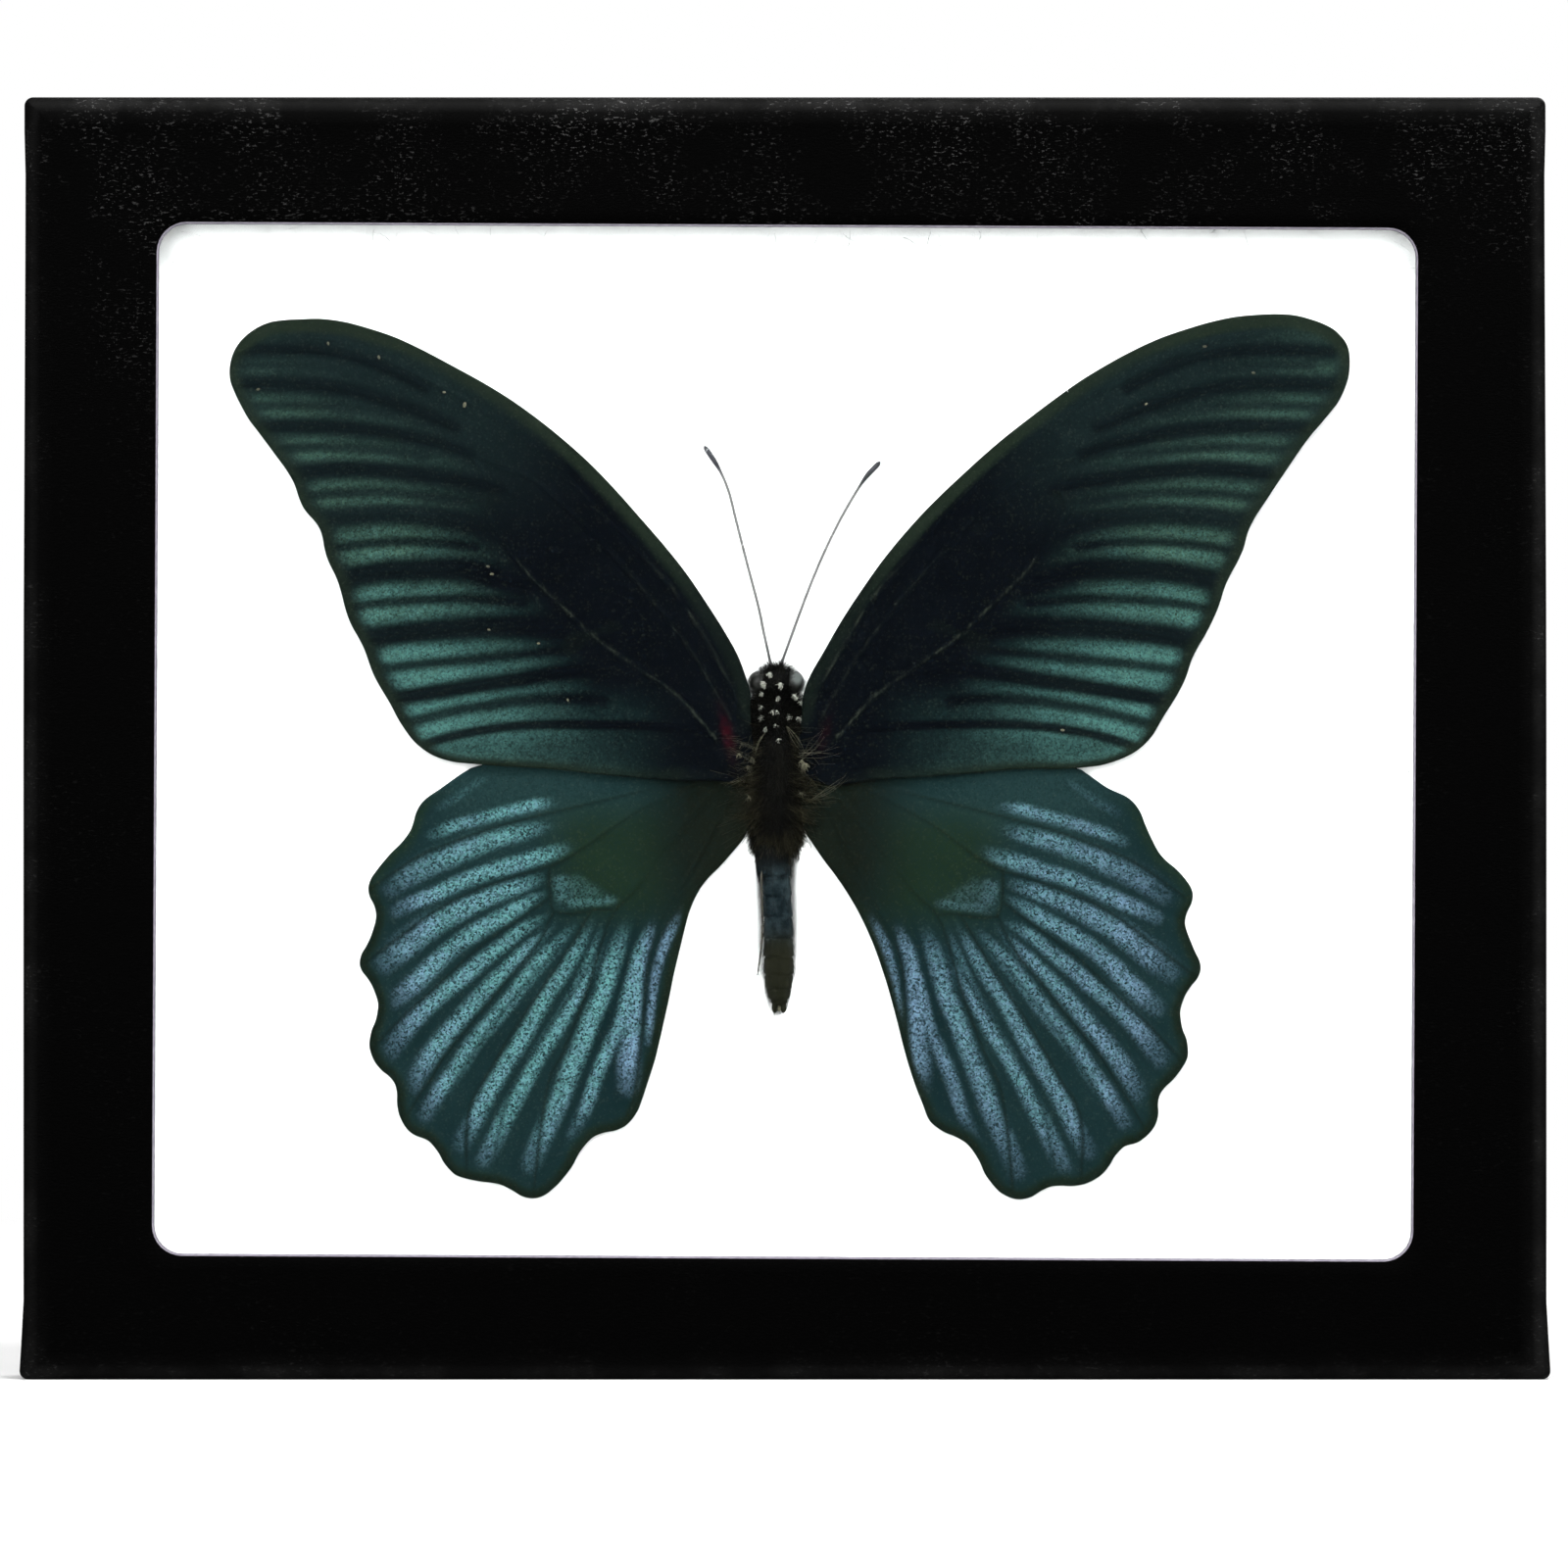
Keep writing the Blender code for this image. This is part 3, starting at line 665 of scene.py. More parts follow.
# Hindwing streaks of pale scales: the line of each, its half width at the inner and the outer end,
# and its strength.
HINDWING_STREAKS = (
    (((29.3, -0.9), (31.0, -1.9), (32.8, -3.2), (34.8, -4.2)), 0.3, 0.5, 0.5),
    (((22.4, -3.9), (25.0, -4.2), (27.0, -4.7), (29.0, -5.2), (31.9, -6.0), (33.6, -6.5), (35.4, -7.3)),
     0.5, 0.5, 0.9),
    (((22.8, -6.2), (26.2, -7.0), (28.5, -7.5), (31.0, -8.4), (33.3, -9.3), (35.4, -10.1), (37.6, -11.2),
     (39.6, -12.3)), 0.6, 1.15, 0.8),
    (((20.8, -8.2), (22.1, -8.8), (24.7, -9.6), (27.6, -10.5), (30.5, -11.4), (32.8, -12.3), (34.8, -13.2),
     (36.8, -14.0), (39.0, -15.0)), 0.7, 0.6, 1.0),
    (((23.3, -11.4), (24.4, -11.8), (27.3, -12.8), (30.5, -14.0), (33.1, -15.3), (35.4, -16.5),
     (37.6, -18.1), (40.4, -20.3)), 0.65, 1.15, 0.95),
    (((23.3, -13.0), (25.0, -13.8), (27.9, -15.6), (30.5, -17.0), (32.8, -18.4), (34.5, -19.9),
     (36.8, -22.2), (39.2, -24.2)), 0.6, 0.8, 1.0),
    (((22.9, -15.6), (24.7, -16.2), (26.5, -17.3), (28.5, -18.9), (30.5, -20.4), (32.2, -21.9),
     (34.5, -23.6), (36.5, -25.4), (38.2, -27.3), (39.7, -29.4)), 0.5, 0.85, 0.95),
    (((22.8, -16.1), (24.4, -17.9), (26.2, -19.6), (28.5, -21.8), (30.5, -23.9), (32.5, -26.2),
     (34.5, -28.5), (36.2, -30.8), (37.4, -33.0)), 0.55, 0.8, 0.95),
    (((20.4, -16.3), (21.9, -17.9), (23.6, -19.6), (25.6, -21.9), (27.6, -24.5), (29.3, -26.5),
     (31.0, -28.5), (32.5, -30.8), (34.2, -33.1), (36.0, -36.0)), 0.6, 0.7, 1.0),
    (((18.7, -15.7), (19.6, -17.3), (20.7, -19.3), (22.1, -21.6), (23.6, -23.6), (25.0, -26.2),
     (26.5, -28.8), (28.2, -31.4), (29.6, -33.7), (31.0, -36.5), (32.4, -39.0)), 0.6, 0.75, 0.95),
    (((17.6, -16.4), (18.7, -19.6), (19.9, -22.5), (21.3, -25.0), (22.7, -27.3), (24.2, -29.6),
     (25.6, -32.2), (27.0, -34.8), (28.5, -37.7), (30.0, -40.8)), 0.6, 0.7, 1.0),
    (((15.1, -16.0), (16.1, -18.2), (17.0, -21.0), (17.8, -23.6), (19.0, -26.2), (20.1, -29.1),
     (21.3, -31.9), (22.4, -34.8), (23.9, -38.0), (25.2, -41.1)), 0.75, 0.8, 1.0),
    (((13.4, -18.0), (14.4, -20.7), (15.3, -23.9), (16.1, -26.8), (17.3, -29.3), (18.4, -31.9),
     (19.3, -34.5), (20.8, -38.0)), 0.5, 0.6, 1.0),
    (((12.5, -15.9), (13.4, -18.2), (14.0, -19.9), (14.4, -23.0), (14.7, -25.2), (14.9, -27.9),
     (15.1, -30.1), (15.1, -33.0)), 0.55, 0.95, 1.0),
    (((9.6, -15.0), (10.7, -17.0), (11.5, -18.7), (12.3, -21.4), (12.7, -23.9), (12.9, -25.7),
     (13.2, -28.6)), 0.45, 0.3, 0.72),
    (((22.3, -11.2), (22.0, -12.6), (21.7, -14.0)), 0.8, 0.9, 0.30),
    (((22.0, -14.2), (19.6, -14.2), (16.8, -13.9)), 0.5, 0.4, 0.36),
    (((21.6, -11.8), (20.2, -12.8), (18.2, -13.5)), 1.1, 0.7, 0.20),
)
HINDWING_VEINS = (
    ((6, -0.6), (13, -2.6), (19, -4.0), (24.5, -5.3), (29, -6.5), (33, -7.9), (37, -9.6), (41.9, -12.9)),
    ((6, -0.8), (12, -3.6), (17, -6.6), (21, -9.4), (23.3, -10.5), (27, -11.6), (31, -13.0), (35, -15.0),
     (38.5, -17.6), (42.9, -20.8)),
    ((23.2, -13.6), (24.8, -14.8), (28, -17.0), (31.5, -19.6), (35, -22.9), (38, -25.6), (41.8, -29.4)),
    ((22.8, -15.1), (24.6, -18.6), (27.4, -21.9), (30.4, -25.6), (33.5, -29.3), (36.2, -33.4),
     (38.8, -37.3)),
    ((18.9, -15.0), (21.2, -18.7), (24.0, -22.9), (27.0, -27.4), (29.3, -31.3), (31.6, -35.6),
     (31.8, -42.8)),
    ((5.5, -2.2), (10, -7.5), (14.0, -12.5), (16.8, -15.4), (18.2, -19.3), (19.5, -23.5), (21.5, -28.6),
     (23.6, -33.6), (25.0, -44.6)),
    ((4.6, -3.2), (8, -9.5), (11.2, -15.4), (12.6, -18.5), (13.3, -21.4), (13.55, -24), (13.75, -27.4),
     (14.0, -29.6), (14.4, -33), (15.1, -36)),
    ((23.3, -10.5), (23.3, -12), (23.2, -13.6), (22.8, -15.1), (20.8, -15.3), (18.9, -15.0), (16.8, -15.0)),
)
HINDWING_FOLDS = (
    ((24, -7.9), (29, -9.3), (33, -11.0), (37.5, -12.9), (41.3, -15.3)),
    ((24, -12.8), (28.5, -14.4), (32, -16.4), (36, -19.4), (41.2, -22.9)),
    ((23.5, -16.2), (27, -18.9), (30.4, -22.0), (34.5, -26.0), (38.2, -30.4), (40.4, -32.0)),
    ((20.5, -17.2), (24.5, -21.2), (28.5, -26.0), (32, -31.0), (36.2, -38.4)),
    ((17.5, -17.5), (20.5, -22.8), (24.2, -28.4), (27.5, -34.2), (29.5, -42.8)),
    ((13.6, -15.5), (15.3, -19.7), (16.4, -23.4), (17.3, -25.7), (18.1, -28), (19.2, -31), (20.7, -36.4)),
)


def wing_skin(rim):
    """Triangles all over a wing, fine enough for its veins: their corners, and the triangles."""
    low, high = rim.min(0), rim.max(0)
    rows = np.arange(low[1], high[1], SKIN_STEP * 0.866)
    inner = np.array([(x + (k % 2) * SKIN_STEP / 2, z) for k, z in enumerate(rows)
                      for x in np.arange(low[0], high[0], SKIN_STEP)])
    inner = inner[inside(inner, rim)]
    inner = inner[nearest(inner, rim, closed=True)[0] > SKIN_STEP * 0.55]
    edges = [(k, (k + 1) % len(rim)) for k in range(len(rim))]
    spots = [Vector(p) for p in np.vstack([rim, inner])]
    corners, _, faces, _, _, _ = delaunay_2d_cdt(spots, edges, [], 1, 1e-6)
    return np.array([tuple(c) for c in corners]), [tuple(f) for f in faces]


def waves(points, seed, longest, shortest, count=24):
    """A gentle unevenness between about -1 and 1."""
    rng = np.random.default_rng(seed)
    total = np.zeros(len(points))
    for _ in range(count):
        angle, wave, shift = (rng.uniform(*ends) for ends in ((0, 2 * math.pi), (shortest, longest),
                                                              (0, 2 * math.pi)))
        run = points[:, 0] * math.cos(angle) + points[:, 1] * math.sin(angle)
        total += np.cos(run * 2 * math.pi / wave + shift)
    return total / math.sqrt(count * 2)


def from_line(at, line):
    """For each point: its distance to a smooth line, how far along that is (0 to 1), and its side."""
    return nearest(at, smooth_line(line, 0.5))


def beside(away, width):
    """1 on a line, and falling away smoothly on both sides of it."""
    return np.exp(-(away / width) ** 2)


def forewing_pattern(at, rim):
    """How the scales of a forewing are laid: light streaks, haze, olive edges, worn lines, a red stain."""
    edge = nearest(at, rim, closed=True)[0]
    across, up = at[:, 0], at[:, 1]
    light = np.ones(len(at))
    ridge, fold, pale = np.zeros((3, len(at)))
    for line, reach in FOREWING_VEINS:
        d = from_line(at, line)[0]
        light *= step_up(reach * 0.55, reach * 1.65, d)
        ridge = np.maximum(ridge, beside(d, RIDGE_WIDTH))
    for line, reach in FOREWING_FOLDS:
        d, _, side = from_line(at, line)
        light *= 0.10 + 0.90 * step_up(reach * 0.45, reach * 2.3, d)
        light *= 1 - 0.32 * (side > 0) * step_up(2.6, 1.8, d) * step_up(14, 24, up)
        fold = np.maximum(fold, beside(d, FOLD_WIDTH))
    d, _, side = from_line(at, SCALES_BEGIN)
    beyond = d * -side
    reach = np.interp(up, [1.8, 3, 12, 18, 24, 34], [22, 14.5, 14.5, 12, 9.5, 8])
    region = np.clip((beyond + 1.5) / reach, 0, 1) ** 1.35
    outer = step_up(8, 20, across * 0.55 - up * 0.25 + 6)
    margin_width = np.interp(up, [2, 6], [0.45, 1])
    margin = 1 - (1 - step_up(0.6 * margin_width, 2.4 * margin_width, edge)) * outer
    strength = np.interp(up, [-3, 0, 3, 7, 11, 17, 23, 27.5, 32, 36.5, 40, 46],
                         [0.46, 0.54, 0.66, 0.78, 0.82, 0.70, 0.6, 0.5, 0.52, 0.50, 0.42, 0.24])
    tail = 0.10 * step_up(9, 4, up) * step_up(9, 20, across)
    light *= np.maximum(region * strength, tail) * margin * (1 + 0.16 * waves(at, 11, 9, 2.5))
    worn = step_up(-0.9, 0.9, waves(at, 23, 3, 0.7)) * step_up(23, 18, up)
    for line, amount in zip(FOREWING_CELL, (0.36, 0.24, 0.12)):
        d = from_line(at, line)[0]
        ridge = np.maximum(ridge, beside(d, RIDGE_WIDTH))
        pale = np.maximum(pale, amount * beside(d, 0.10) * worn)
    disc = step_up(20, 34, up) * step_up(18, 34, across)
    haze = 0.30 * step_up(0, 9, beyond) + 0.70 * disc + 0.35 * step_up(14, 28, across) * step_up(6, 0, up)
    haze = np.clip(haze, 0, 1)
    for line, reach in FOREWING_VEINS[:4]:
        haze *= 1 - 0.6 * (1 - step_up(0.3, 0.3 + 0.8 * reach, from_line(at, line)[0]))
    leading = step_up(1.7, 0.8, edge) * (1 - outer * step_up(44.5, 41, up))
    leading *= np.maximum(step_up(10, 26, up), 0.35 * step_up(0, 3, up - 0.9 * across))
    olive = leading + 0.75 * (1 - step_up(0.3, 1.6, edge)) * outer + 0.12 * (waves(at, 5, 14, 5) > 0.9)
    blue = np.interp(up, [4, 10, 16, 20, 26, 34], [1, 0.9, 0.65, 0.4, 0.1, 0]) + 0.14 * waves(at, 31, 8, 2)
    run, aside = ((at - STAIN_MIDDLE) @ np.array([[0.24, 0.97], [0.97, -0.24]])).T
    stain = 1.5 * beside(aside, 0.48) * beside(run + 1.3, 2.3) * step_up(-1.3, 0.5, waves(at, 3, 1.6, 0.5))
    stain *= 0.25 + 0.75 * step_up(0.5, -2.2, run)
    scales = dict(light=light, haze=haze, olive=olive, blue=blue, pale=pale, stain=stain)
    return {key: np.clip(value, 0, 1) for key, value in scales.items()}, ridge, fold


def hindwing_pattern(at, rim):
    """How the scales of a hindwing are laid: speckled streaks, a dull zone, a green cell, a dark edge."""
    edge = nearest(at, rim, closed=True)[0]
    across, up = at[:, 0], at[:, 1]
    light, ridge, fold = np.zeros((3, len(at)))
    for line, inner, outer, strength in HINDWING_STREAKS:
        d, run, _ = from_line(at, line)
        half = (inner + (outer - inner) * run) * (0.75 + 0.25 * step_up(0, 0.2, run))
        ends = step_up(-0.02, 0.22, run) * (0.45 + 0.55 * step_up(1.0, 0.86, run))
        light = np.maximum(light, strength * ends * step_up(half * 1.75, half * 0.35, d))
    inner = step_up(17, 13.5, across) * step_up(-10, -13, up)
    light *= step_up(0.8, 2.4, edge + 2 * inner) * (0.6 + 0.4 * step_up(2, 5.5, edge + 4 * inner))
    light *= step_up(0.3, 0.9, edge) * (1 + 0.16 * waves(at, 13, 6, 1.5))
    for line in HINDWING_VEINS:
        d = from_line(at, line)[0]
        ridge = np.maximum(ridge, beside(d, RIDGE_WIDTH))
        light *= 1 - 0.9 * beside(d, 0.34)
    for line in HINDWING_FOLDS:
        d = from_line(at, line)[0]
        fold = np.maximum(fold, beside(d, FOLD_WIDTH))
        light *= 1 - 0.75 * beside(d, 0.30)
    haze = 0.85 * step_up(-7.5, -0.5, up + 0.18 * across) * step_up(5, 20, across) * step_up(40, 30, across)
    haze += 0.25 * step_up(15, 24, across) * step_up(-8, -16, up) + 0.12 * waves(at, 19, 16, 5)
    cell = step_up(-2, -8, up) * step_up(7, 14, across) * step_up(26, 19, across) * step_up(-19, -12, up)
    olive = 0.85 * cell + 0.7 * step_up(1.5, 0.3, edge) * step_up(-2, -5, up)
    inner_edge = np.maximum(0.7 * step_up(14, 12.6, across), step_up(17.5, 15.5, across)
                            * step_up(-27, -31, up))
    blue = 0.15 + 0.7 * inner_edge * step_up(-12, -18, up) + 0.3 * step_up(26, 40, across)
    blue += 0.45 * step_up(7, 2, edge) * step_up(-10, -14, up)
    blue += 0.16 * waves(at, 37, 7, 2)
    stain = 0.95 * step_up(15, 5, np.hypot(across - 2, (up + 5) * 0.55))
    stain = np.maximum(stain, 0.55 * np.exp(-(ridge - 1) ** 2 / 0.18) * step_up(8, 14, across))
    stain = np.maximum(stain, 0.6 * step_up(1.1, 0.5, edge) * step_up(-10, -16, up))
    scales = dict(light=light * 0.55, haze=haze, olive=olive, blue=blue, pale=np.zeros(len(at)), stain=stain)
    return {key: np.clip(value, 0, 1) for key, value in scales.items()}, ridge, fold


def scale_grain():
    """The unevenness of wing scales: clumps of grains, and single grains, about 0; and their height."""
    grain, given = group_of("scale grain", {"Size": "Float", "Singles": "Float"},
                            {"Grain": "Float", "Hue": "Float", "Height": "Float"})
    place = node(grain, "ShaderNodeTexCoord").outputs["Object"]
    clump = noise(grain, place, given["Size"], 2.0, 0.8)
    scale = node(grain, "ShaderNodeTexVoronoi", {"Vector": place, "Scale": 5600.0, "Randomness": 0.9})
    single = node(grain, "ShaderNodeSeparateColor", {0: scale.outputs["Color"]}).outputs
    centred = maths(grain, "SUBTRACT", part_way(grain, given["Singles"], clump, single[0]), 0.5)
    hue = maths(grain, "SUBTRACT", single[1], 0.5)
    node(grain, "NodeGroupOutput", {"Grain": centred, "Hue": hue, "Height": single[0]})
    return grain


def scale_dust():
    """One colour of scales dusted over another, so that a thin cover breaks up into grains."""
    given = {"Under": "Color", "Over": "Color", "Amount": "Float", "Grain": "Float", "Speckle": "Float"}
    dust, given = group_of("scale dust", given, {"Color": "Color"})
    more = maths(dust, "ADD", maths(dust, "MULTIPLY", given["Grain"], given["Speckle"]), 1.0)
    cover = maths(dust, "MULTIPLY", given["Amount"], more, use_clamp=True)
    node(dust, "NodeGroupOutput", {"Color": tint(dust, cover, given["Under"], given["Over"])})
    return dust


SCALE_GRAIN = scale_grain()
SCALE_DUST = scale_dust()
WORN_LINES = (0.045, 0.055, 0.040)


def wing_finish(name, ground, cloud, green, near_shine, far_shine, stained, grain_size, singles, speckle):
    """The scale colours of a wing over its dark ground, and the fine bump of the scales."""
    made, tree, shader, _ = new_finish(name, 0.7, 0.0)
    laid = {key: stored(tree, key) for key in ("light", "haze", "olive", "blue", "pale", "stain")}
    grain = node(tree, "ShaderNodeGroup", {"Size": grain_size, "Singles": singles},
                 node_tree=SCALE_GRAIN).outputs
    hue = node(tree, "ShaderNodeMath", {0: grain["Hue"], 1: 0.7, 2: laid["blue"]}, operation="MULTIPLY_ADD",
               use_clamp=True).outputs[0]
    shine = tint(tree, hue, near_shine, far_shine)
    laid["pale"] = maths(tree, "ADD", laid["pale"], ramp(tree, grain["Height"], 0.86, 1.0, 0.0, 0.09))
    colour = (*ground, 1)
    for key, over, speck in (("haze", (*cloud, 1), 1.5), ("olive", (*green, 1), 1.5),
                             ("stain", (*stained, 1), 1.0),
                             ("light", shine, speckle), ("pale", (*WORN_LINES, 1), 2.0)):
        given = {"Under": colour, "Over": over, "Amount": laid[key], "Grain": grain["Grain"],
                 "Speckle": speck}
        colour = node(tree, "ShaderNodeGroup", given, node_tree=SCALE_DUST).outputs["Color"]
    tree.links.new(colour, shader.inputs["Base Color"])
    bumped(tree, shader, grain["Height"], 0.012 * MM, 0.35)
    return made


forewing_scales = wing_finish("forewing scales", (0.0012, 0.0018, 0.0028), (0.0050, 0.0098, 0.0100),
                              (0.0070, 0.0112, 0.0074), (0.030, 0.062, 0.044), (0.037, 0.098, 0.090),
                              (0.0150, 0.0018, 0.0034), 2400.0, 0.4, 2.4)
hindwing_scales = wing_finish("hindwing scales", (0.0034, 0.0102, 0.0116), (0.0084, 0.0210, 0.0215),
                              (0.0062, 0.0135, 0.0072), (0.069, 0.180, 0.178), (0.104, 0.168, 0.240),
                              (0.0034, 0.0044, 0.0028), 3600.0, 0.6, 3.3)


def make_wing(name, pattern, finish, side, seed, turn=0.0, stretch=1.0, bluer=0.0, stained=1.0, dusted=1.0):
    """One wing on the place of its CAD plate: its two skins, joined round the rim, and its scales."""
    low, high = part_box(name)
    level = (low.y + high.y) / 2 / MM
    rim = np.column_stack([(rims[name][:, 0] - BODY_X) * side, rims[name][:, 1] - ROOT_Z]) / MM
    rim = smooth_line(rim, SKIN_STEP, closed=True)
    if (rim[:, 0] * np.roll(rim[:, 1], -1) - np.roll(rim[:, 0], -1) * rim[:, 1]).sum() < 0:
        rim = rim[::-1]
    at, faces = wing_skin(rim)
    cos, sin = math.cos(math.radians(turn)), math.sin(math.radians(turn))
    turned = np.array([[cos, -sin], [sin, cos]]) / stretch
    scales, ridge, fold = pattern(at @ turned, rim @ turned)
    scales["blue"] = np.clip(scales["blue"] + bluer, 0, 1)
    scales["stain"] *= stained
    scales["light"] *= dusted
    edge = nearest(at, rim, closed=True)[0]
    relief = (0.13 * waves(at, seed, 40, 14) + 0.03 * waves(at, seed + 1, 7, 3)) * step_up(3, 9, at[:, 0])
    relief += RIDGE_HEIGHT * ridge * step_up(0.0, 1.0, edge) - FOLD_DEPTH * fold
    thick = MEMBRANE * (0.4 + 0.6 * step_up(0, 0.5, edge))
    count = len(at)
    x = BODY_X / MM + side * at[:, 0]
    z = ROOT_Z / MM + at[:, 1]
    corners = np.vstack([np.column_stack([x, level - relief + half, z])
                         for half in (-thick / 2, thick / 2)]) * MM
    links = {(a, b) for f in faces for a, b in zip(f, f[1:] + f[:1])}
    out = [f[::side] for f in faces] + [tuple(v + count for v in f[::-side]) for f in faces]
    for f in faces:
        out += [(b, a, a + count, b + count)[::side] for a, b in zip(f, f[1:] + f[:1])
                if (b, a) not in links]
    mesh = bpy.data.meshes.new(name)
    mesh.from_pydata([tuple(c) for c in corners], [], out)
    for f in mesh.polygons:
        f.use_smooth = True
    for key, value in scales.items():
        kept = mesh.attributes.new(key, "FLOAT", "POINT")
        kept.data.foreach_set("value", np.concatenate([value, value]).astype(np.float32))
    mesh.update()
    wing = object_of(name + "_membrane", mesh, finish)
    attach(wing, "root")
    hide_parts(name)


make_wing("hindwing_left", hindwing_pattern, hindwing_scales, -1, 41)
make_wing("hindwing_right", hindwing_pattern, hindwing_scales, 1, 43, turn=-0.9, stretch=1.008, bluer=0.4,
          dusted=0.78)
make_wing("forewing_left", forewing_pattern, forewing_scales, -1, 45)
make_wing("forewing_right", forewing_pattern, forewing_scales, 1, 47, stained=0.25)


# The body: head, thorax and abdomen, dry shells that meet at a narrow neck and waist. Their rings are given
# here and set on the CAD solids; the shells are ridged and creased, and set with velvet, hair and pale
# scales.
BODY_SIDES = 56
THORAX_PROFILE = ((0.05, 7.5), (1.2, 7.3), (2.0, 6.8), (2.45, 6.0), (2.6, 5.1), (2.7, 4.0), (2.9, 2.0),
                  (3.05, -0.5), (2.95, -3.0), (2.75, -5.5), (2.35, -7.3), (1.75, -8.4), (0.05, -8.9))
ABDOMEN_PROFILE = ((0.05, 0.9), (1.2, 0.8), (1.75, 0.2), (1.8, -1.0), (1.6, -3.1), (1.5, -5.6),
                   (1.5, -8.1), (1.52, -10.6), (1.5, -12.6), (1.3, -14.3), (0.95, -15.4), (0.6, -15.9))
SEGMENT_ENDS = (-2.6, -4.7, -6.8, -8.9, -10.9, -12.7, -14.2, -15.3)
EYE_RADIUS = 1.15
# The front of a ring, counted round from the right.
FRONT = 1.5 * math.pi
# Tufts of white scales on the head and the front of the thorax: across, up and half width.
WHITE_TUFTS = ((-0.6, 9.1, 0.20), (-1.4, 8.3, 0.22), (0.4, 8.2, 0.20), (0.2, 7.1, 0.19), (1.7, 6.8, 0.24),
               (-1.3, 7.0, 0.13), (-1.4, 5.8, 0.21), (2.3, 6.2, 0.13), (-1.4, 4.7, 0.21), (1.2, 4.8, 0.22),
               (2.1, 4.6, 0.19), (-1.0, 3.6, 0.17), (-0.35, 5.4, 0.11), (0.05, 5.4, 0.11),
               (0.3, 2.5, 0.12), (0.0, 4.0, 0.12))


def velvet(name, deep, worn, shine, roughness, cover=None):
    """Dry chitin under short scales: two dark colours in soft patches, with a fine scaly bump. A cover
    lays further colours over these."""
    made, tree, shader, place = new_finish(name, roughness, shine)
    ink = tint(tree, ramp(tree, noise(tree, place, 700.0, 5.0, 0.7), 0.42, 0.68), deep, worn)
    tree.links.new(cover(tree, place, ink) if cover else ink, shader.inputs["Base Color"])
    scales = node(tree, "ShaderNodeTexVoronoi", {"Vector": place, "Scale": 6500.0}).outputs["Distance"]
    bumped(tree, shader, scales, 0.03 * MM, 0.8)
    return made


def spun(name, profile, middle, depth, swell, lean=lambda up: 0.0):
    """A closed shell of rings round an upright line; swell shapes a ring and lean moves its middle."""
    rings = []
    for radius, up in smooth_line(profile, 0.14):
        radius = max(radius, 0.03)
        cx = middle[0] / MM + lean(up)
        ring = []
        for k in range(BODY_SIDES):
            angle = 2 * math.pi * k / BODY_SIDES
            r = radius + swell(angle, up) * min(1, radius / 0.8)
            ring.append(((cx + r * math.cos(angle)) * MM, middle[1] + r * depth * math.sin(angle) * MM,
                         middle[2] + up * MM))
        rings.append(ring)
    return lofted(name, rings, cap_ends=True)


def joined(name, meshes):
    """Several skins kept as one mesh."""
    whole = bmesh.new()
    for part in meshes:
        whole.from_mesh(part)
    return mesh_of(name, whole)


def egg(name, middle, radii, turn=0.0, detail=3):
    """A closed egg shape with its radii in millimetres, turned about the front-to-back line."""
    ball = bmesh.new()
    bmesh.ops.create_icosphere(ball, subdivisions=detail, radius=1.0)
    for f in ball.faces:
        f.smooth = True
    mesh = mesh_of(name, ball)
    turned = Matrix.Rotation(math.radians(turn), 4, "Y") @ Matrix.Diagonal((*(r * MM for r in radii), 1))
    mesh.transform(Matrix.Translation(middle) @ turned)
    return mesh


def body_part(name, mesh, finish, replaced=None):
    """Adds a finished part of the body on its CAD solid."""
    made = object_of(name, mesh, finish)
    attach(made, "root")
    if replaced:
        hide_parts(replaced)


shell_black = velvet("black shell", (0.0010, 0.0011, 0.0011), (0.0034, 0.0034, 0.0026), 0.03, 0.6)
hair_black = velvet("black velvet hair", (0.0013, 0.0014, 0.0012), (0.0046, 0.0044, 0.0030), 0.03, 0.6)
hair_brown = velvet("brown hair", (0.0062, 0.0056, 0.0028), (0.024, 0.0215, 0.0115), 0.05, 0.5)
scale_white = velvet("white scales", (0.20, 0.21, 0.18), (0.42, 0.42, 0.37), 0.05, 0.7)
side_hair = velvet("side hair", (0.016, 0.015, 0.009), (0.055, 0.052, 0.033), 0.05, 0.6)
scale_straw = velvet("straw hair", (0.045, 0.044, 0.030), (0.130, 0.125, 0.085), 0.08, 0.6)

thorax_middle = (BODY_X, (thorax_low.y + thorax_high.y) / 2, ROOT_Z)
thorax_depth = (thorax_high.y - thorax_low.y) / (thorax_high.x - thorax_low.x)


def bulge(away, width):
    """1 at a place, and falling away smoothly on both sides of it."""
    return math.exp(-(away / width) ** 2)


def thorax_swell(angle, up):
    """A groove down the middle, two shoulders, and the seams of the shield and the collar."""
    aside = abs(angle - FRONT)
    middle_groove = 0.07 * bulge(aside, 0.07) * (1 if -6 < up < 4.5 else 0)
    shoulder = 0.10 * bulge(aside - 0.75, 0.25) * bulge(up - 2.2, 1.6)
    shield_seam = 0.10 * bulge(up + 5.2 + 1.1 * aside, 0.16) * max(math.cos(angle + math.pi / 2), 0)
    return shoulder - middle_groove - shield_seam - 0.12 * bulge(up - 4.9, 0.18)


thorax_mesh = spun("thorax", THORAX_PROFILE, thorax_middle, thorax_depth, thorax_swell)
body_part("thorax_shell", thorax_mesh, shell_black, "thorax")

abdomen_low, abdomen_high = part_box("abdomen")
abdomen_middle = (BODY_X, (abdomen_low.y + abdomen_high.y) / 2, abdomen_high.z)


def abdomen_lean(up):
    return -0.4 + 0.6 * min(1, -up / 7.0) + 0.012 * max(0, -up - 7)


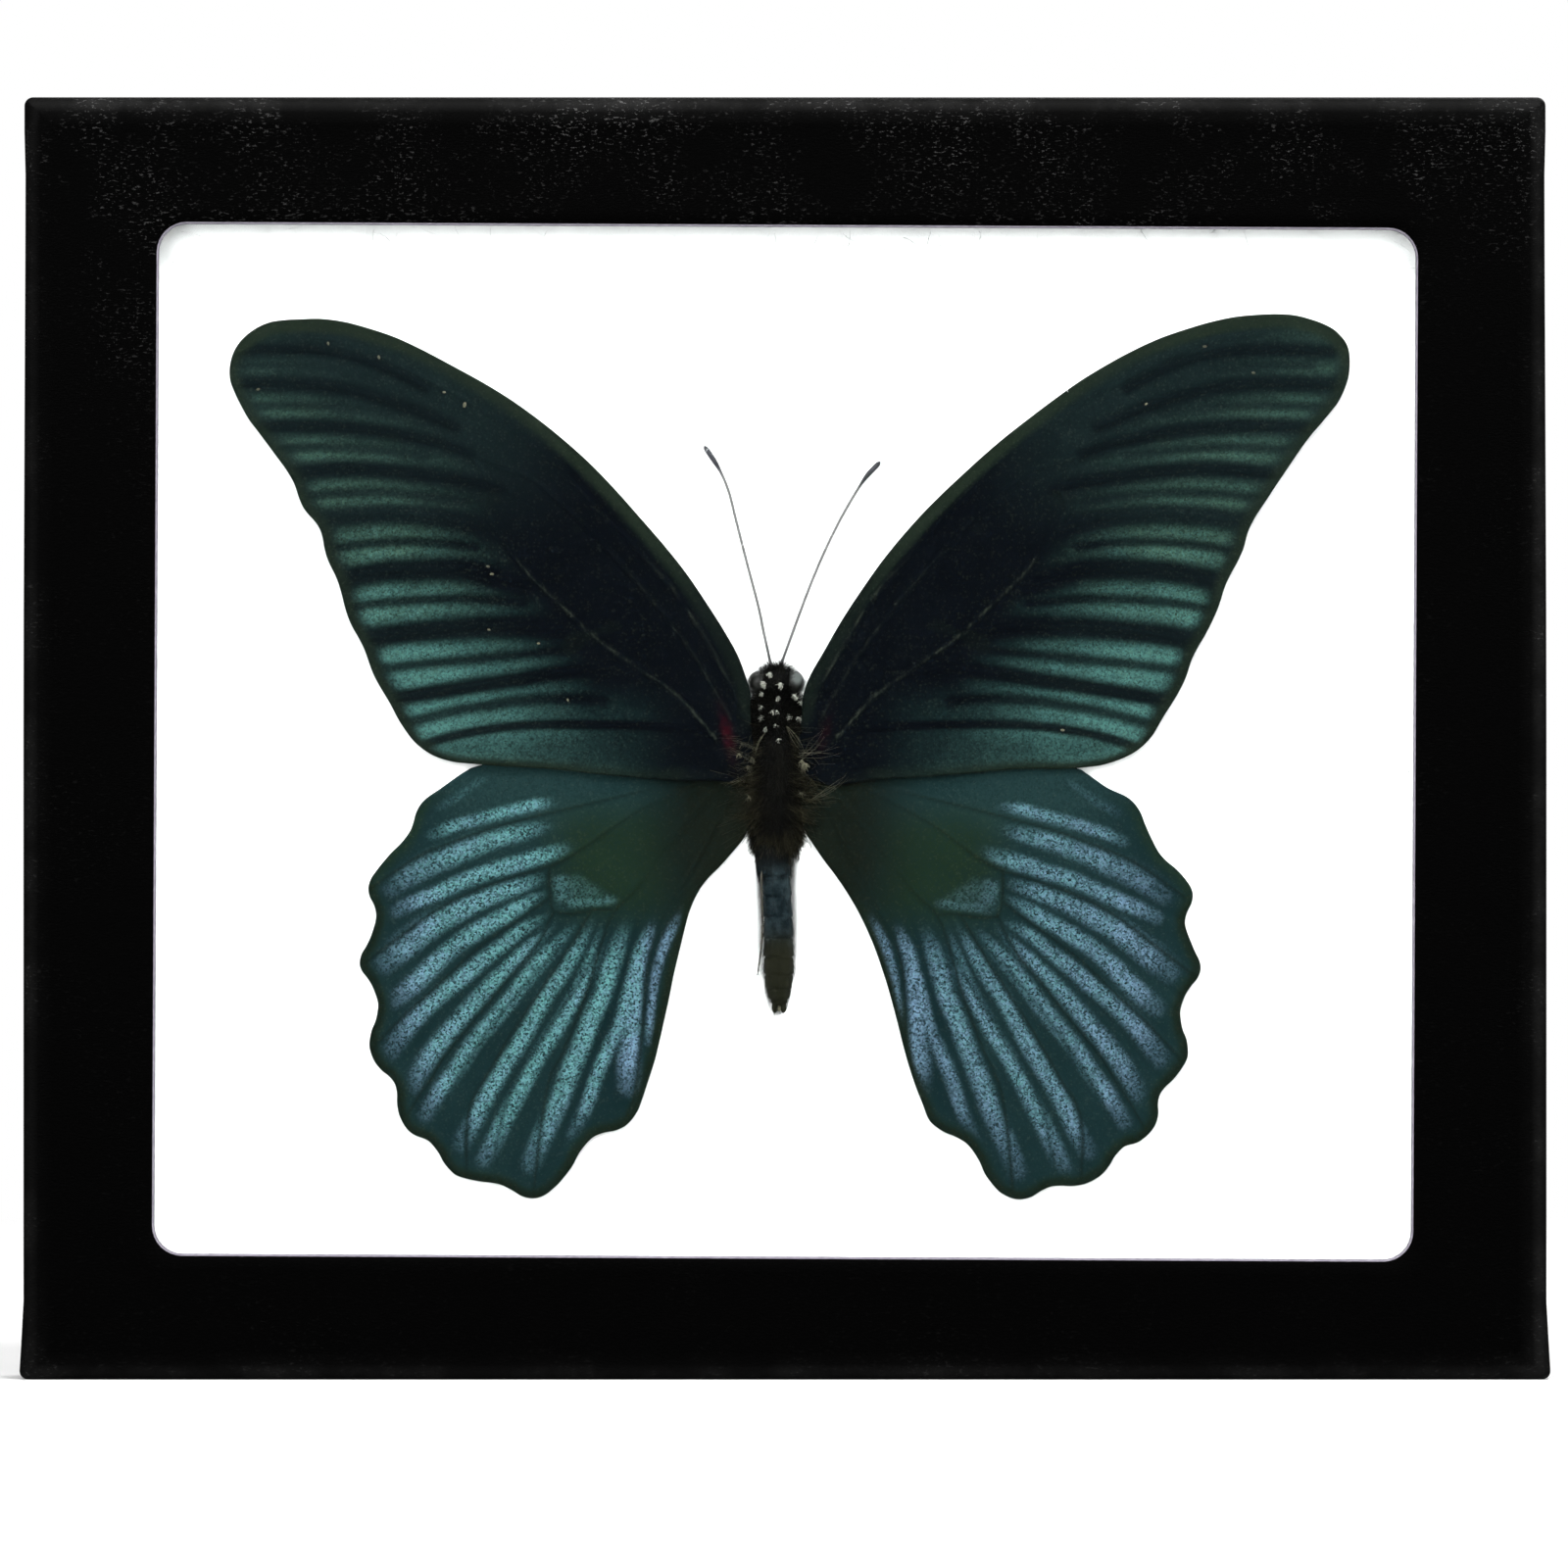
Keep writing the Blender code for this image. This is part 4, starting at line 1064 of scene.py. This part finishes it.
def abdomen_swell(angle, up):
    """Creases between the segments, which overlap like the rings of a telescope, and a low keel."""
    creases = 0.13 * sum(bulge(up - end, 0.11) for end in SEGMENT_ENDS)
    above = [end for end in (0.0,) + SEGMENT_ENDS if end > up]
    fallen = (min(above) - up) / 2.1 if above else 0
    return 0.09 * fallen - 0.04 + 0.05 * bulge(angle - FRONT, 0.18) - creases


def abdomen_cover(tree, place, ink):
    """Browner towards the tip, and dark at the waist."""
    height = node(tree, "ShaderNodeSeparateXYZ", {0: place}).outputs["Z"]
    low_half = ramp(tree, height, abdomen_high.z - 7.2 * MM, abdomen_high.z - 10.5 * MM, curve="SMOOTHSTEP")
    waist = ramp(tree, height, abdomen_high.z - 2.8 * MM, abdomen_high.z - 0.6 * MM, curve="SMOOTHSTEP")
    return tint(tree, waist, tint(tree, low_half, ink, (0.0072, 0.0078, 0.0042)), (0.0014, 0.0020, 0.0022))


abdomen_finish = velvet("abdomen scales", (0.0028, 0.0060, 0.0078), (0.0185, 0.0300, 0.0340), 0.02, 0.5,
                        abdomen_cover)
tip_x = BODY_X + abdomen_lean(-15.6) * MM
tip_z = abdomen_high.z - 15.6 * MM
lobes = [egg("lobe", (tip_x + side * 0.36 * MM, abdomen_middle[1] - 0.25 * MM, tip_z - 0.25 * MM),
             (0.36, 0.5, 0.85), side * -9) for side in (-1, 1)]
abdomen_mesh = spun("abdomen", ABDOMEN_PROFILE, abdomen_middle, 1.12, abdomen_swell, abdomen_lean)
abdomen_mesh = joined("abdomen", [abdomen_mesh] + lobes)
body_part("abdomen_shell", abdomen_mesh, abdomen_finish, "abdomen")
cleft = egg("abdomen_tip_skin", (tip_x, abdomen_middle[1] - 0.45 * MM, tip_z - 0.55 * MM), (0.16, 0.3, 0.42))
body_part("abdomen_tip_skin", cleft, scale_straw)

head_low, head_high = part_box("head")
head_middle = Vector((BODY_X, (head_low.y + head_high.y) / 2, ROOT_Z + 8.4 * MM))
skull = egg("head", head_middle, (2.0, 1.9, 1.6), detail=4)
palps = [egg("palp", head_middle + Vector((side * 0.42, -0.7, 1.25)) * MM, (0.38, 0.5, 0.55), side * 14)
         for side in (-1, 1)]
head_mesh = joined("head", [skull] + palps)
body_part("head_shell", head_mesh, shell_black, "head")

eye_finish, tree, shader, place = new_finish("compound eye", 0.3, 0.22)
facets = node(tree, "ShaderNodeTexVoronoi", {"Vector": place, "Scale": 9000.0,
                                             "Randomness": 0.15}).outputs["Distance"]
tone = tint(tree, facets, (0.0042, 0.0046, 0.0038), (0.0016, 0.0018, 0.0014))
# Painted glint: a pale grey-green patch on the front of the right eye stands in for a highlight.
glint_distance = node(tree, "ShaderNodeVectorMath", {0: place, 1: head_middle + Vector((2.1, -1.1, 0.35)) * MM},
             operation="DISTANCE").outputs["Value"]
dull = tint(tree, ramp(tree, glint_distance, 0.9 * MM, 0.3 * MM, curve="SMOOTHSTEP"), tone, (0.048, 0.056, 0.054))
tree.links.new(dull, shader.inputs["Base Color"])
bumped(tree, shader, facets, 0.015 * MM, 0.5, invert=True)
eyes = joined("eyes", [egg("eye", head_middle + Vector((side * 1.75, -0.25, 0.0)) * MM,
                           (EYE_RADIUS, 1.25, EYE_RADIUS * 1.05), detail=4) for side in (-1, 1)])
body_part("compound_eyes", eyes, eye_finish)

skins = [BVHTree.FromPolygons([v.co for v in m.vertices], [p.vertices for p in m.polygons])
         for m in (thorax_mesh, head_mesh, eyes)]
tufts = []
for across, up, half in WHITE_TUFTS:
    start = Vector((BODY_X + across * MM, glass_low.y, ROOT_Z + up * MM))
    hits = [hit for hit in (skin.ray_cast(start, Vector((0, 1, 0))) for skin in skins) if hit[0]]
    spot, slope = min(hits, key=lambda hit: hit[0].y)[:2]
    dome = egg("tuft", (0, 0, 0), (half * 0.95, half * 1.15, 0.1), 0, 2)
    raised = spot + slope * 0.3 * MM
    raised.y = max(min(raised.y, thorax_low.y + 0.9 * MM), glass_high.y + 0.12 * MM)
    dome.transform(Matrix.Translation(raised) @ slope.to_track_quat("Z", "Y").to_matrix().to_4x4())
    tufts.append(dome)
tuft_mesh = joined("white_scale_tufts", tufts)
body_part("white_scale_tufts", tuft_mesh, scale_white)


def coat(name, mesh, finish, comb_at, dense_at, growth, steps=3):
    """Grows hair from a copy of a skin and adds it to the body."""
    made = grown(name, mesh.copy(), finish, comb_at, dense_at, glass_high.y + 0.03 * MM, growth, steps)


def outward(v):
    return 1 if v.co.x > BODY_X else -1


def everywhere(v):
    return 1.0


def tuft_comb(v):
    return v.normal * 0.5 + Vector((0, -0.2, -0.6))


def wing_root_dense(v):
    across, up = abs(v.co.x - BODY_X) / MM, (v.co.z - ROOT_Z) / MM
    if v.co.y > thorax_middle[1] - 1.2 * MM:
        return 0.0
    dense = step_up(0.7, 1.6, across) * step_up(4.5, 2.0, up) * step_up(-7.4, -5.6, up)
    return float(dense * (0.5 + 0.5 * step_up(1.5, -3.0, up)))


def thorax_end(low, high):
    """Hair on the front of the thorax that stands closer from one height to another, in millimetres."""
    return lambda v: float(step_up(low * MM, high * MM, v.co.z
                                   - ROOT_Z)) if v.co.y < thorax_middle[1] + 0.5 * MM else 0.0


coat("white_tuft_scales", tuft_mesh, scale_white, tuft_comb, everywhere, (9e7, 0.32, 0.03, 0.2, 0.35, 3))
coat("thorax_velvet", thorax_mesh, hair_black, lambda v: v.normal * 0.55
     + Vector((0.25 * outward(v), 0, -0.75)),
     lambda v: 1.0 if v.co.y < thorax_middle[1] - 0.3 * MM else 0.0, (3.6e7, 0.75, 0.022, 0.3, 0.4, 4))
coat("head_velvet", head_mesh, hair_black, lambda v: v.normal * 0.8 + Vector((0, -0.1, 0.25)),
     lambda v: 1.0 if v.co.y < head_middle.y + 0.6 * MM else 0.0, (3.0e7, 0.6, 0.02, 0.25, 0.45, 6))
coat("abdomen_velvet", abdomen_mesh, hair_black, lambda v: v.normal * 0.28 + Vector((0, 0, -1.0)),
     lambda v: 0.35 + 0.65 * (v.co.z > abdomen_high.z - 3 * MM), (1.3e7, 0.5, 0.018, 0.2, 0.25, 8))
coat("wing_root_hair", thorax_mesh, hair_brown,
     lambda v: Vector((outward(v) * 1.0, -0.2, -0.25 - 0.35 * (ROOT_Z - v.co.z > 3 * MM))), wing_root_dense,
     (2.2e7, 2.6, 0.022, 0.3, 0.45, 9), 5)
coat("long_side_hair", thorax_mesh, side_hair,
     lambda v: Vector((outward(v) * 1.0, -0.12, -0.10 + 0.036 * (v.co.z - ROOT_Z) / MM)), wing_root_dense,
     (1.6e6, 4.6, 0.016, 0.12, 0.32, 19), 6)
coat("waist_hair", thorax_mesh, hair_brown, lambda v: v.normal * 0.35 + Vector((0, 0, -0.9)),
     thorax_end(-6.2, -7.6),
     (3.4e7, 1.8, 0.022, 0.25, 0.35, 31), 4)
coat("neck_hair", thorax_mesh, hair_black, lambda v: v.normal * 0.7 + Vector((outward(v) * 0.5, -0.1, 0.15)),
     thorax_end(2.5, 4.0), (3.2e7, 1.35, 0.024, 0.3, 0.45, 29), 4)


def strand(name, line, radii, sides=4):
    """A closed skin round a line of points in space, for a thin limb; its radii are in millimetres."""
    points = [Vector(p) for p in line]
    rings = []
    for k, p in enumerate(points):
        way = (points[min(k + 1, len(points) - 1)] - points[max(k - 1, 0)]).normalized()
        side = way.cross(Vector((0, 1, 0))).normalized()
        front = side.cross(way)
        turns = [2 * math.pi * j / sides for j in range(sides)]
        rings.append([p + (side * math.cos(turn) + front * math.sin(turn)) * radii[k] * MM
                      for turn in turns])
    return lofted(name, rings, cap_ends=True)


def wisps(name, ends, seed, thick):
    """Small bundles of four long hairs that lie on the wings, each from one place to another."""
    rng = random.Random(seed)
    hairs = []
    for start, end, spread in ends:
        for _ in range(4):
            bow = rng.uniform(-0.35, 0.35)
            a = [start[k] + rng.uniform(-spread, spread) for k in (0, 1)]
            b = [end[k] + rng.uniform(-spread, spread) * 1.6 for k in (0, 1)]
            level = rng.uniform(0.12, 0.38)
            line = []
            for k in range(7):
                t = k / 6
                arch = bow * math.sin(math.pi * t) * 0.3
                line.append((BODY_X + (a[0] + (b[0] - a[0]) * t - arch * (b[1] - a[1])) * MM,
                             forewing_front - (level + 0.08 * math.sin(3 * t)) * MM,
                             ROOT_Z + (a[1] + (b[1] - a[1]) * t + arch * (b[0] - a[0])) * MM))
            hairs.append(strand("hair", line, [thick * (1 - 0.75 * k / 6) for k in range(7)]))
    body_part(name, joined(name, hairs), scale_straw)


forewing_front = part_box("forewing_left")[0].y
wisps("pale_wisps", (((2.2, 1.0), (6.3, 1.7), 0.35), ((3.9, -3.4), (7.6, -1.4), 0.3),
                     ((2.6, 0.9), (4.9, 3.2), 0.4),
                     ((-2.2, 1.6), (-4.6, 2.3), 0.3), ((-2.4, 0.2), (-5.6, 1.4), 0.35),
                     ((-2.6, -1.0), (-5.0, -2.2), 0.3)),
      12, 0.016)
wisps("shoulder_lines", (((-1.15, 3.2), (-2.2, 1.1), 0.05), ((1.05, 3.9), (2.9, 1.1), 0.05)), 13, 0.022)
# Small pale tufts at the roots of the wings: across, up and half width.
ROOT_TUFTS = ((2.9, -0.2, 0.3), (-3.55, 2.1, 0.09), (-3.8, 1.0, 0.12), (-2.9, -0.3, 0.14), (2.6, 0.3, 0.14),
              (-2.5, 0.6, 0.12), (-2.8, -3.4, 0.13), (2.5, -3.0, 0.12))
root_tufts = [egg("tuft", (BODY_X + across * MM, forewing_front - 0.2 * MM, ROOT_Z + up * MM),
                  (half, 0.16, half * 1.3), across * 8, 2) for across, up, half in ROOT_TUFTS]
root_tufts = joined("wing_root_tufts", root_tufts)
body_part("wing_root_tufts", root_tufts, scale_straw)
coat("wing_root_tuft_scales", root_tufts, scale_straw, tuft_comb, everywhere,
     (6e7, 0.45, 0.03, 0.2, 0.4, 23))
# Single pale flecks where scales are lost: across, negative on the left wing, up and half width.
LOST_SCALES = ((-46.0, 43.2, 0.13), (-40.8, 41.8, 0.15), (-32.0, 36.9, 0.20), (-53.2, 38.5, 0.13),
               (-29.6, 20.3, 0.13),
               (-29.2, 19.5, 0.15), (-29.5, 13.8, 0.12), (-24.4, 12.4, 0.12), (-21.4, 6.6, 0.11),
               (-34.1, 38.2, 0.12),
               (44.0, 42.9, 0.15), (49.0, 40.2, 0.13), (29.4, 3.5, 0.15), (38.0, 37.0, 0.11),
               (26.5, 21.0, 0.10))
flecks = [egg("fleck", (BODY_X + across * MM, forewing_front - 0.06 * MM, ROOT_Z + up * MM),
              (half * 1.5, 0.05, half * 0.95), abs(across) * 37, 2) for across, up, half in LOST_SCALES]
body_part("lost_scale_flecks", joined("lost_scale_flecks", flecks), scale_straw)


# The antennae and the leg: ringed chitin tubes. Each antenna is a chain of short rings that ends in a
# club; the leg has a long shin with spines, and a foot of five short joints.
RING_LENGTH = 0.42
SHAFT_RADIUS = 0.145
CLUB_SWELL = 0.13
CLUB_LENGTH = 3.4
antenna_finish = velvet("antenna rings", (0.0060, 0.0062, 0.0090), (0.022, 0.023, 0.030), 0.3, 0.4,
                        lambda tree, place, ink: tint(tree, stored(tree, "shaft"), ink,
                                                      (0.095, 0.095, 0.094)))


def antenna(name, line, side):
    """One antenna laid along its given line, at the depth of its CAD rod."""
    low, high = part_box(name)
    level = (low.y + high.y) / 2
    at = smooth_line(line, RING_LENGTH / 6)
    run = np.arange(len(at)) * RING_LENGTH / 6
    whole = run[-1]
    points, radii = [], []
    for (across, up), gone in zip(at, run):
        club = float(step_up(whole - CLUB_LENGTH, whole - CLUB_LENGTH * 0.45, gone))
        tip = math.sqrt(max(0.02, 1 - float(step_up(whole - 0.7, whole + 0.05, gone)) ** 2))
        ringed = 1 - 0.10 * max(0, math.cos(2 * math.pi * gone / RING_LENGTH)) ** 4
        base = 1 + 0.9 * bulge(gone, 0.35)
        radii.append((SHAFT_RADIUS + CLUB_SWELL * club) * tip * ringed * base)
        dip = 0.9 * math.exp(-gone / 1.2)
        points.append((BODY_X + side * across * MM, level + dip * MM, ROOT_Z + up * MM))
    mesh = strand(name, points, radii, 12)
    root_z, club_z = points[0][2], points[-1][2] - CLUB_LENGTH * MM

    def shaft(p):
        """The pale scales of the shaft, which thin out towards the club and the head."""
        return float(step_up(club_z + 1.4 * MM, club_z, p.z)
                     * (0.5 + 0.5 * step_up(root_z, root_z + 5 * MM, p.z)))

    mark(mesh, "shaft", shaft)
    made = object_of(name + "_rings", mesh, antenna_finish)
    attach(made, "root")
    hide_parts(name)


antenna("antenna_left", ANTENNA_LEFT, -1)
antenna("antenna_right", ANTENNA_RIGHT, 1)

LEG_LINE = ((1.5, -11.0), (1.5, -13.4), (1.4, -16.2), (1.55, -18.8), (1.9, -21.5))
FOOT_JOINTS = (0.52, 0.66, 0.77, 0.86, 0.93)
leg_low, leg_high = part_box("hind_leg_left")
at = smooth_line(LEG_LINE, 0.08)
points, radii = [], []
for k, (across, up) in enumerate(at):
    part = k / (len(at) - 1)
    shape = (0.125 - 0.045 * part) * (1 - 0.35 * sum(bulge(part - joint, 0.008) for joint in FOOT_JOINTS))
    radii.append(shape * min(1.0, 0.35 + part * 20, 0.35 + (1 - part) * 25))
    points.append(Vector((BODY_X - across * MM, (leg_low.y + leg_high.y) / 2, ROOT_Z + up * MM)))
limbs = [strand("leg", points, radii, 10)]
rng = random.Random(21)
for k in range(14, len(points) - 4, 7):
    way = Vector((rng.choice((-1, 1)) * 0.32, rng.uniform(-0.12, 0.12), -0.4)) * MM * (1.0
                                                                                       if k < len(points)
                                                                                       * 0.5 else 0.6)
    limbs.append(strand("spine", [points[k] + way * part for part in (0, 0.5, 1)], [0.03, 0.022, 0.006]))
for side in (-1, 1):
    way = Vector((side * 0.16, -0.05, -0.26)) * MM
    hook = Vector((side * -0.05, 0, -0.05)) * MM
    limbs.append(strand("claw", [points[-1], points[-1] + way * 0.6, points[-1] + way + hook],
                        [0.045, 0.035, 0.01]))
leg_finish = velvet("leg chitin", (0.012, 0.010, 0.006), (0.034, 0.030, 0.018), 0.3, 0.4)
body_part("hind_leg", joined("hind_leg", limbs), leg_finish, "hind_leg_left")


# The glass: a pane of plain window glass behind the window of the lid.
pane, tree, shader, _ = new_finish("pane glass", 0.0)
shader.inputs["Base Color"].default_value = (0.985, 0.992, 0.99, 1)
shader.inputs["IOR"].default_value = 1.45
shader.inputs["Transmission Weight"].default_value = 1.0
in_shadow = node(tree, "ShaderNodeLightPath").outputs["Is Shadow Ray"]
let_through = node(tree, "ShaderNodeBsdfTransparent", {"Color": (0.96, 0.97, 0.965, 1)}).outputs[0]
shared = node(tree, "ShaderNodeMixShader", {0: in_shadow, 1: shader.outputs[0], 2: let_through}).outputs[0]
tree.links.new(shared, tree.nodes["Material Output"].inputs["Surface"])
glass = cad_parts["glass"]
glass.data.materials.clear()
glass.data.materials.append(pane)


# The lid: 1.5 mm board with a window cut in it and a skirt folded back over the tray, all covered in
# black embossed paper. The bare board shows as a thin pale line round the window; the folds are rubbed,
# with a painted highlight along the top fold and painted glints on the high spots of the grain.
WINDOW_HALF = (64.55 * MM, 52.9 * MM)
WINDOW_ROUNDING = 3.0 * MM
WINDOW_TURN = math.radians(0.28)
LID_ROUNDING = 0.9 * MM
LAP = 8.0 * MM
lid_middle = ((case_low.x + case_high.x) / 2, (case_low.z + case_high.z) / 2)
window_middle = (lid_middle[0], lid_middle[1] - 0.35 * MM)
lid_half = (case_width / 2, case_height / 2)


def window_ring(out, y):
    """A ring round the window, out from its edge and back from the front of the lid, in millimetres."""
    around = rounded_rectangle(WINDOW_HALF[0] + out * MM, WINDOW_HALF[1] + out * MM,
                               WINDOW_ROUNDING + out * MM, window_middle, WINDOW_TURN)
    return [(x, front_y + y * MM, z) for x, z in around]


def lid_ring(inset, y):
    """A ring of the lid's outside, whose sides lean in a little to the top and flare at the lapped foot."""
    ring = []
    for x, z in rounded_rectangle(lid_half[0] - inset * MM, lid_half[1] - inset * MM,
                                  max(LID_ROUNDING - inset * MM, SHARPEST), lid_middle):
        up = z - case_low.z
        flare = -0.22 * float(step_up(0.5, 1.0, up / case_height)) + 0.30 * float(step_up(LAP * 0.8, 0.0,
                                                                                          up))
        lap = 0.12 if up < LAP or up > case_height - LAP else 0.0
        grip = float(step_up(1.6, 0.2, inset))
        side = math.copysign(1.0, x) * float(step_up(0.9, 1.0, abs(x) / lid_half[0]))
        ring.append((x + side * (flare + lap * grip) * MM, front_y + y * MM, z))
    return ring


rings = [window_ring(out, y) for out, y in ((-0.12, 1.45), (-0.06, 0.40), (0.0, 0.28), (0.09, 0.10),
                                            (0.30, 0.0))]
inner, outer = rings[-1], lid_ring(1.6, 0.0)
for part, dip in ((0.12, 0.02), (0.3, 0.05), (0.5, 0.04), (0.7, 0.05), (0.88, 0.02)):
    rings.append([(a[0] + (b[0] - a[0]) * part, front_y + dip * MM, a[2] + (b[2] - a[2]) * part)
                  for a, b in zip(inner, outer)])
for inset, y in ((1.6, 0.0), (1.2, 0.01), (0.75, 0.08), (0.4, 0.25), (0.14, 0.6), (0.0, 1.2), (0.0, 5.0),
                 (0.0, 9.5), (0.0, 14.0), (0.0, 17.5), (0.1, 17.72), (0.3, 17.8), (1.2, 17.8), (1.42, 17.65),
                 (1.5, 17.2), (1.5, 10.0), (1.5, 1.6), (1.7, 1.5)):
    rings.append(lid_ring(inset, y))
rings.append(window_ring(0.3, 1.5))
# Board shows in the first three bands and the last, and lining in the two before that.
bands = [1] * 3 + [0] * (len(rings) - 6) + [2, 2, 1]
lid_mesh = lofted("lid", rings, join_ends=True, bands=bands)


def lid_edge_wear_and_highlight(p):
    """The rubbed folds: the rim round the front and the upright corners. The top fold is lightest, partly
    dust and partly a painted highlight where light falls from above; the bottom and side folds are less
    light.
    """
    x, y, z = (p.x - lid_middle[0]) / MM, (p.y - front_y) / MM, (p.z - lid_middle[1]) / MM
    out_x, out_z = lid_half[0] / MM - abs(x), lid_half[1] / MM - abs(z)
    fold = step_up(2.0, 0.5, min(out_x, out_z)) * step_up(2.2, 0.9, y)
    corner = step_up(1.2, 0.3, math.hypot(max(out_x, 0), max(out_z, 0)))
    # Painted highlight: the top fold is lighter than the bottom and the sides, as light falls from above,
    # partly dust.
    if out_z < out_x:
        share = 1.0 if z > 0 else 0.35
    else:
        share = 0.5 if x > 0 else 0.3
    return float(max(fold * share, corner * 0.7))


def lid_glints_and_wear(p):
    """How many high spots of the grain get painted glints, partly rubbing: most along the top, where light
    falls from above, round the window's upper corners, and on the skirt.
    """
    x, z = (p.x - lid_middle[0]) / MM, (p.z - case_low.z) / MM
    corner = bulge(x + 66, 5) * bulge(z - 115, 9) + 0.4 * bulge(x - 50, 22) * bulge(z - 122, 8)
    skirt = step_up(1.0, 3.0, (p.y - front_y) / MM)
    # Painted glints, partly real rubbing: strongest along the top, at the window's upper corners and on the
    # skirt.
    return float(min(1.0, 0.03 + 0.55 * step_up(112, 129, z) + 0.6 * corner + 0.35 * skirt))


mark(lid_mesh, "edge", lid_edge_wear_and_highlight)
mark(lid_mesh, "wear", lid_glints_and_wear)
# The second colour greys the rubbed folds, the painted highlight along the top and the painted glints on the
# grain.
embossed = grained_paper("embossed paper", (0.0002,) * 3, (0.058, 0.058, 0.057), 0.42 * MM, 0.17 * MM,
                         0.03 * MM, 0.45, 0.012)
cut_board, tree, shader, place = new_finish("cut board", 0.9)
layers = noise(tree, place, 1500.0, 4.0)
tree.links.new(tint(tree, layers, (0.10, 0.085, 0.125), (0.30, 0.28, 0.32)), shader.inputs["Base Color"])
bumped(tree, shader, layers, 0.03 * MM, 0.6)
lining, tree, shader, place = new_finish("lid lining", 0.85)
pulp = tint(tree, noise(tree, place, 800.0, 5.0), (0.030, 0.028, 0.027), (0.060, 0.058, 0.055))
tree.links.new(pulp, shader.inputs["Base Color"])
lid = object_of("case_lid", lid_mesh, embossed, cut_board, lining)
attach(lid, "root")
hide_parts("lid")
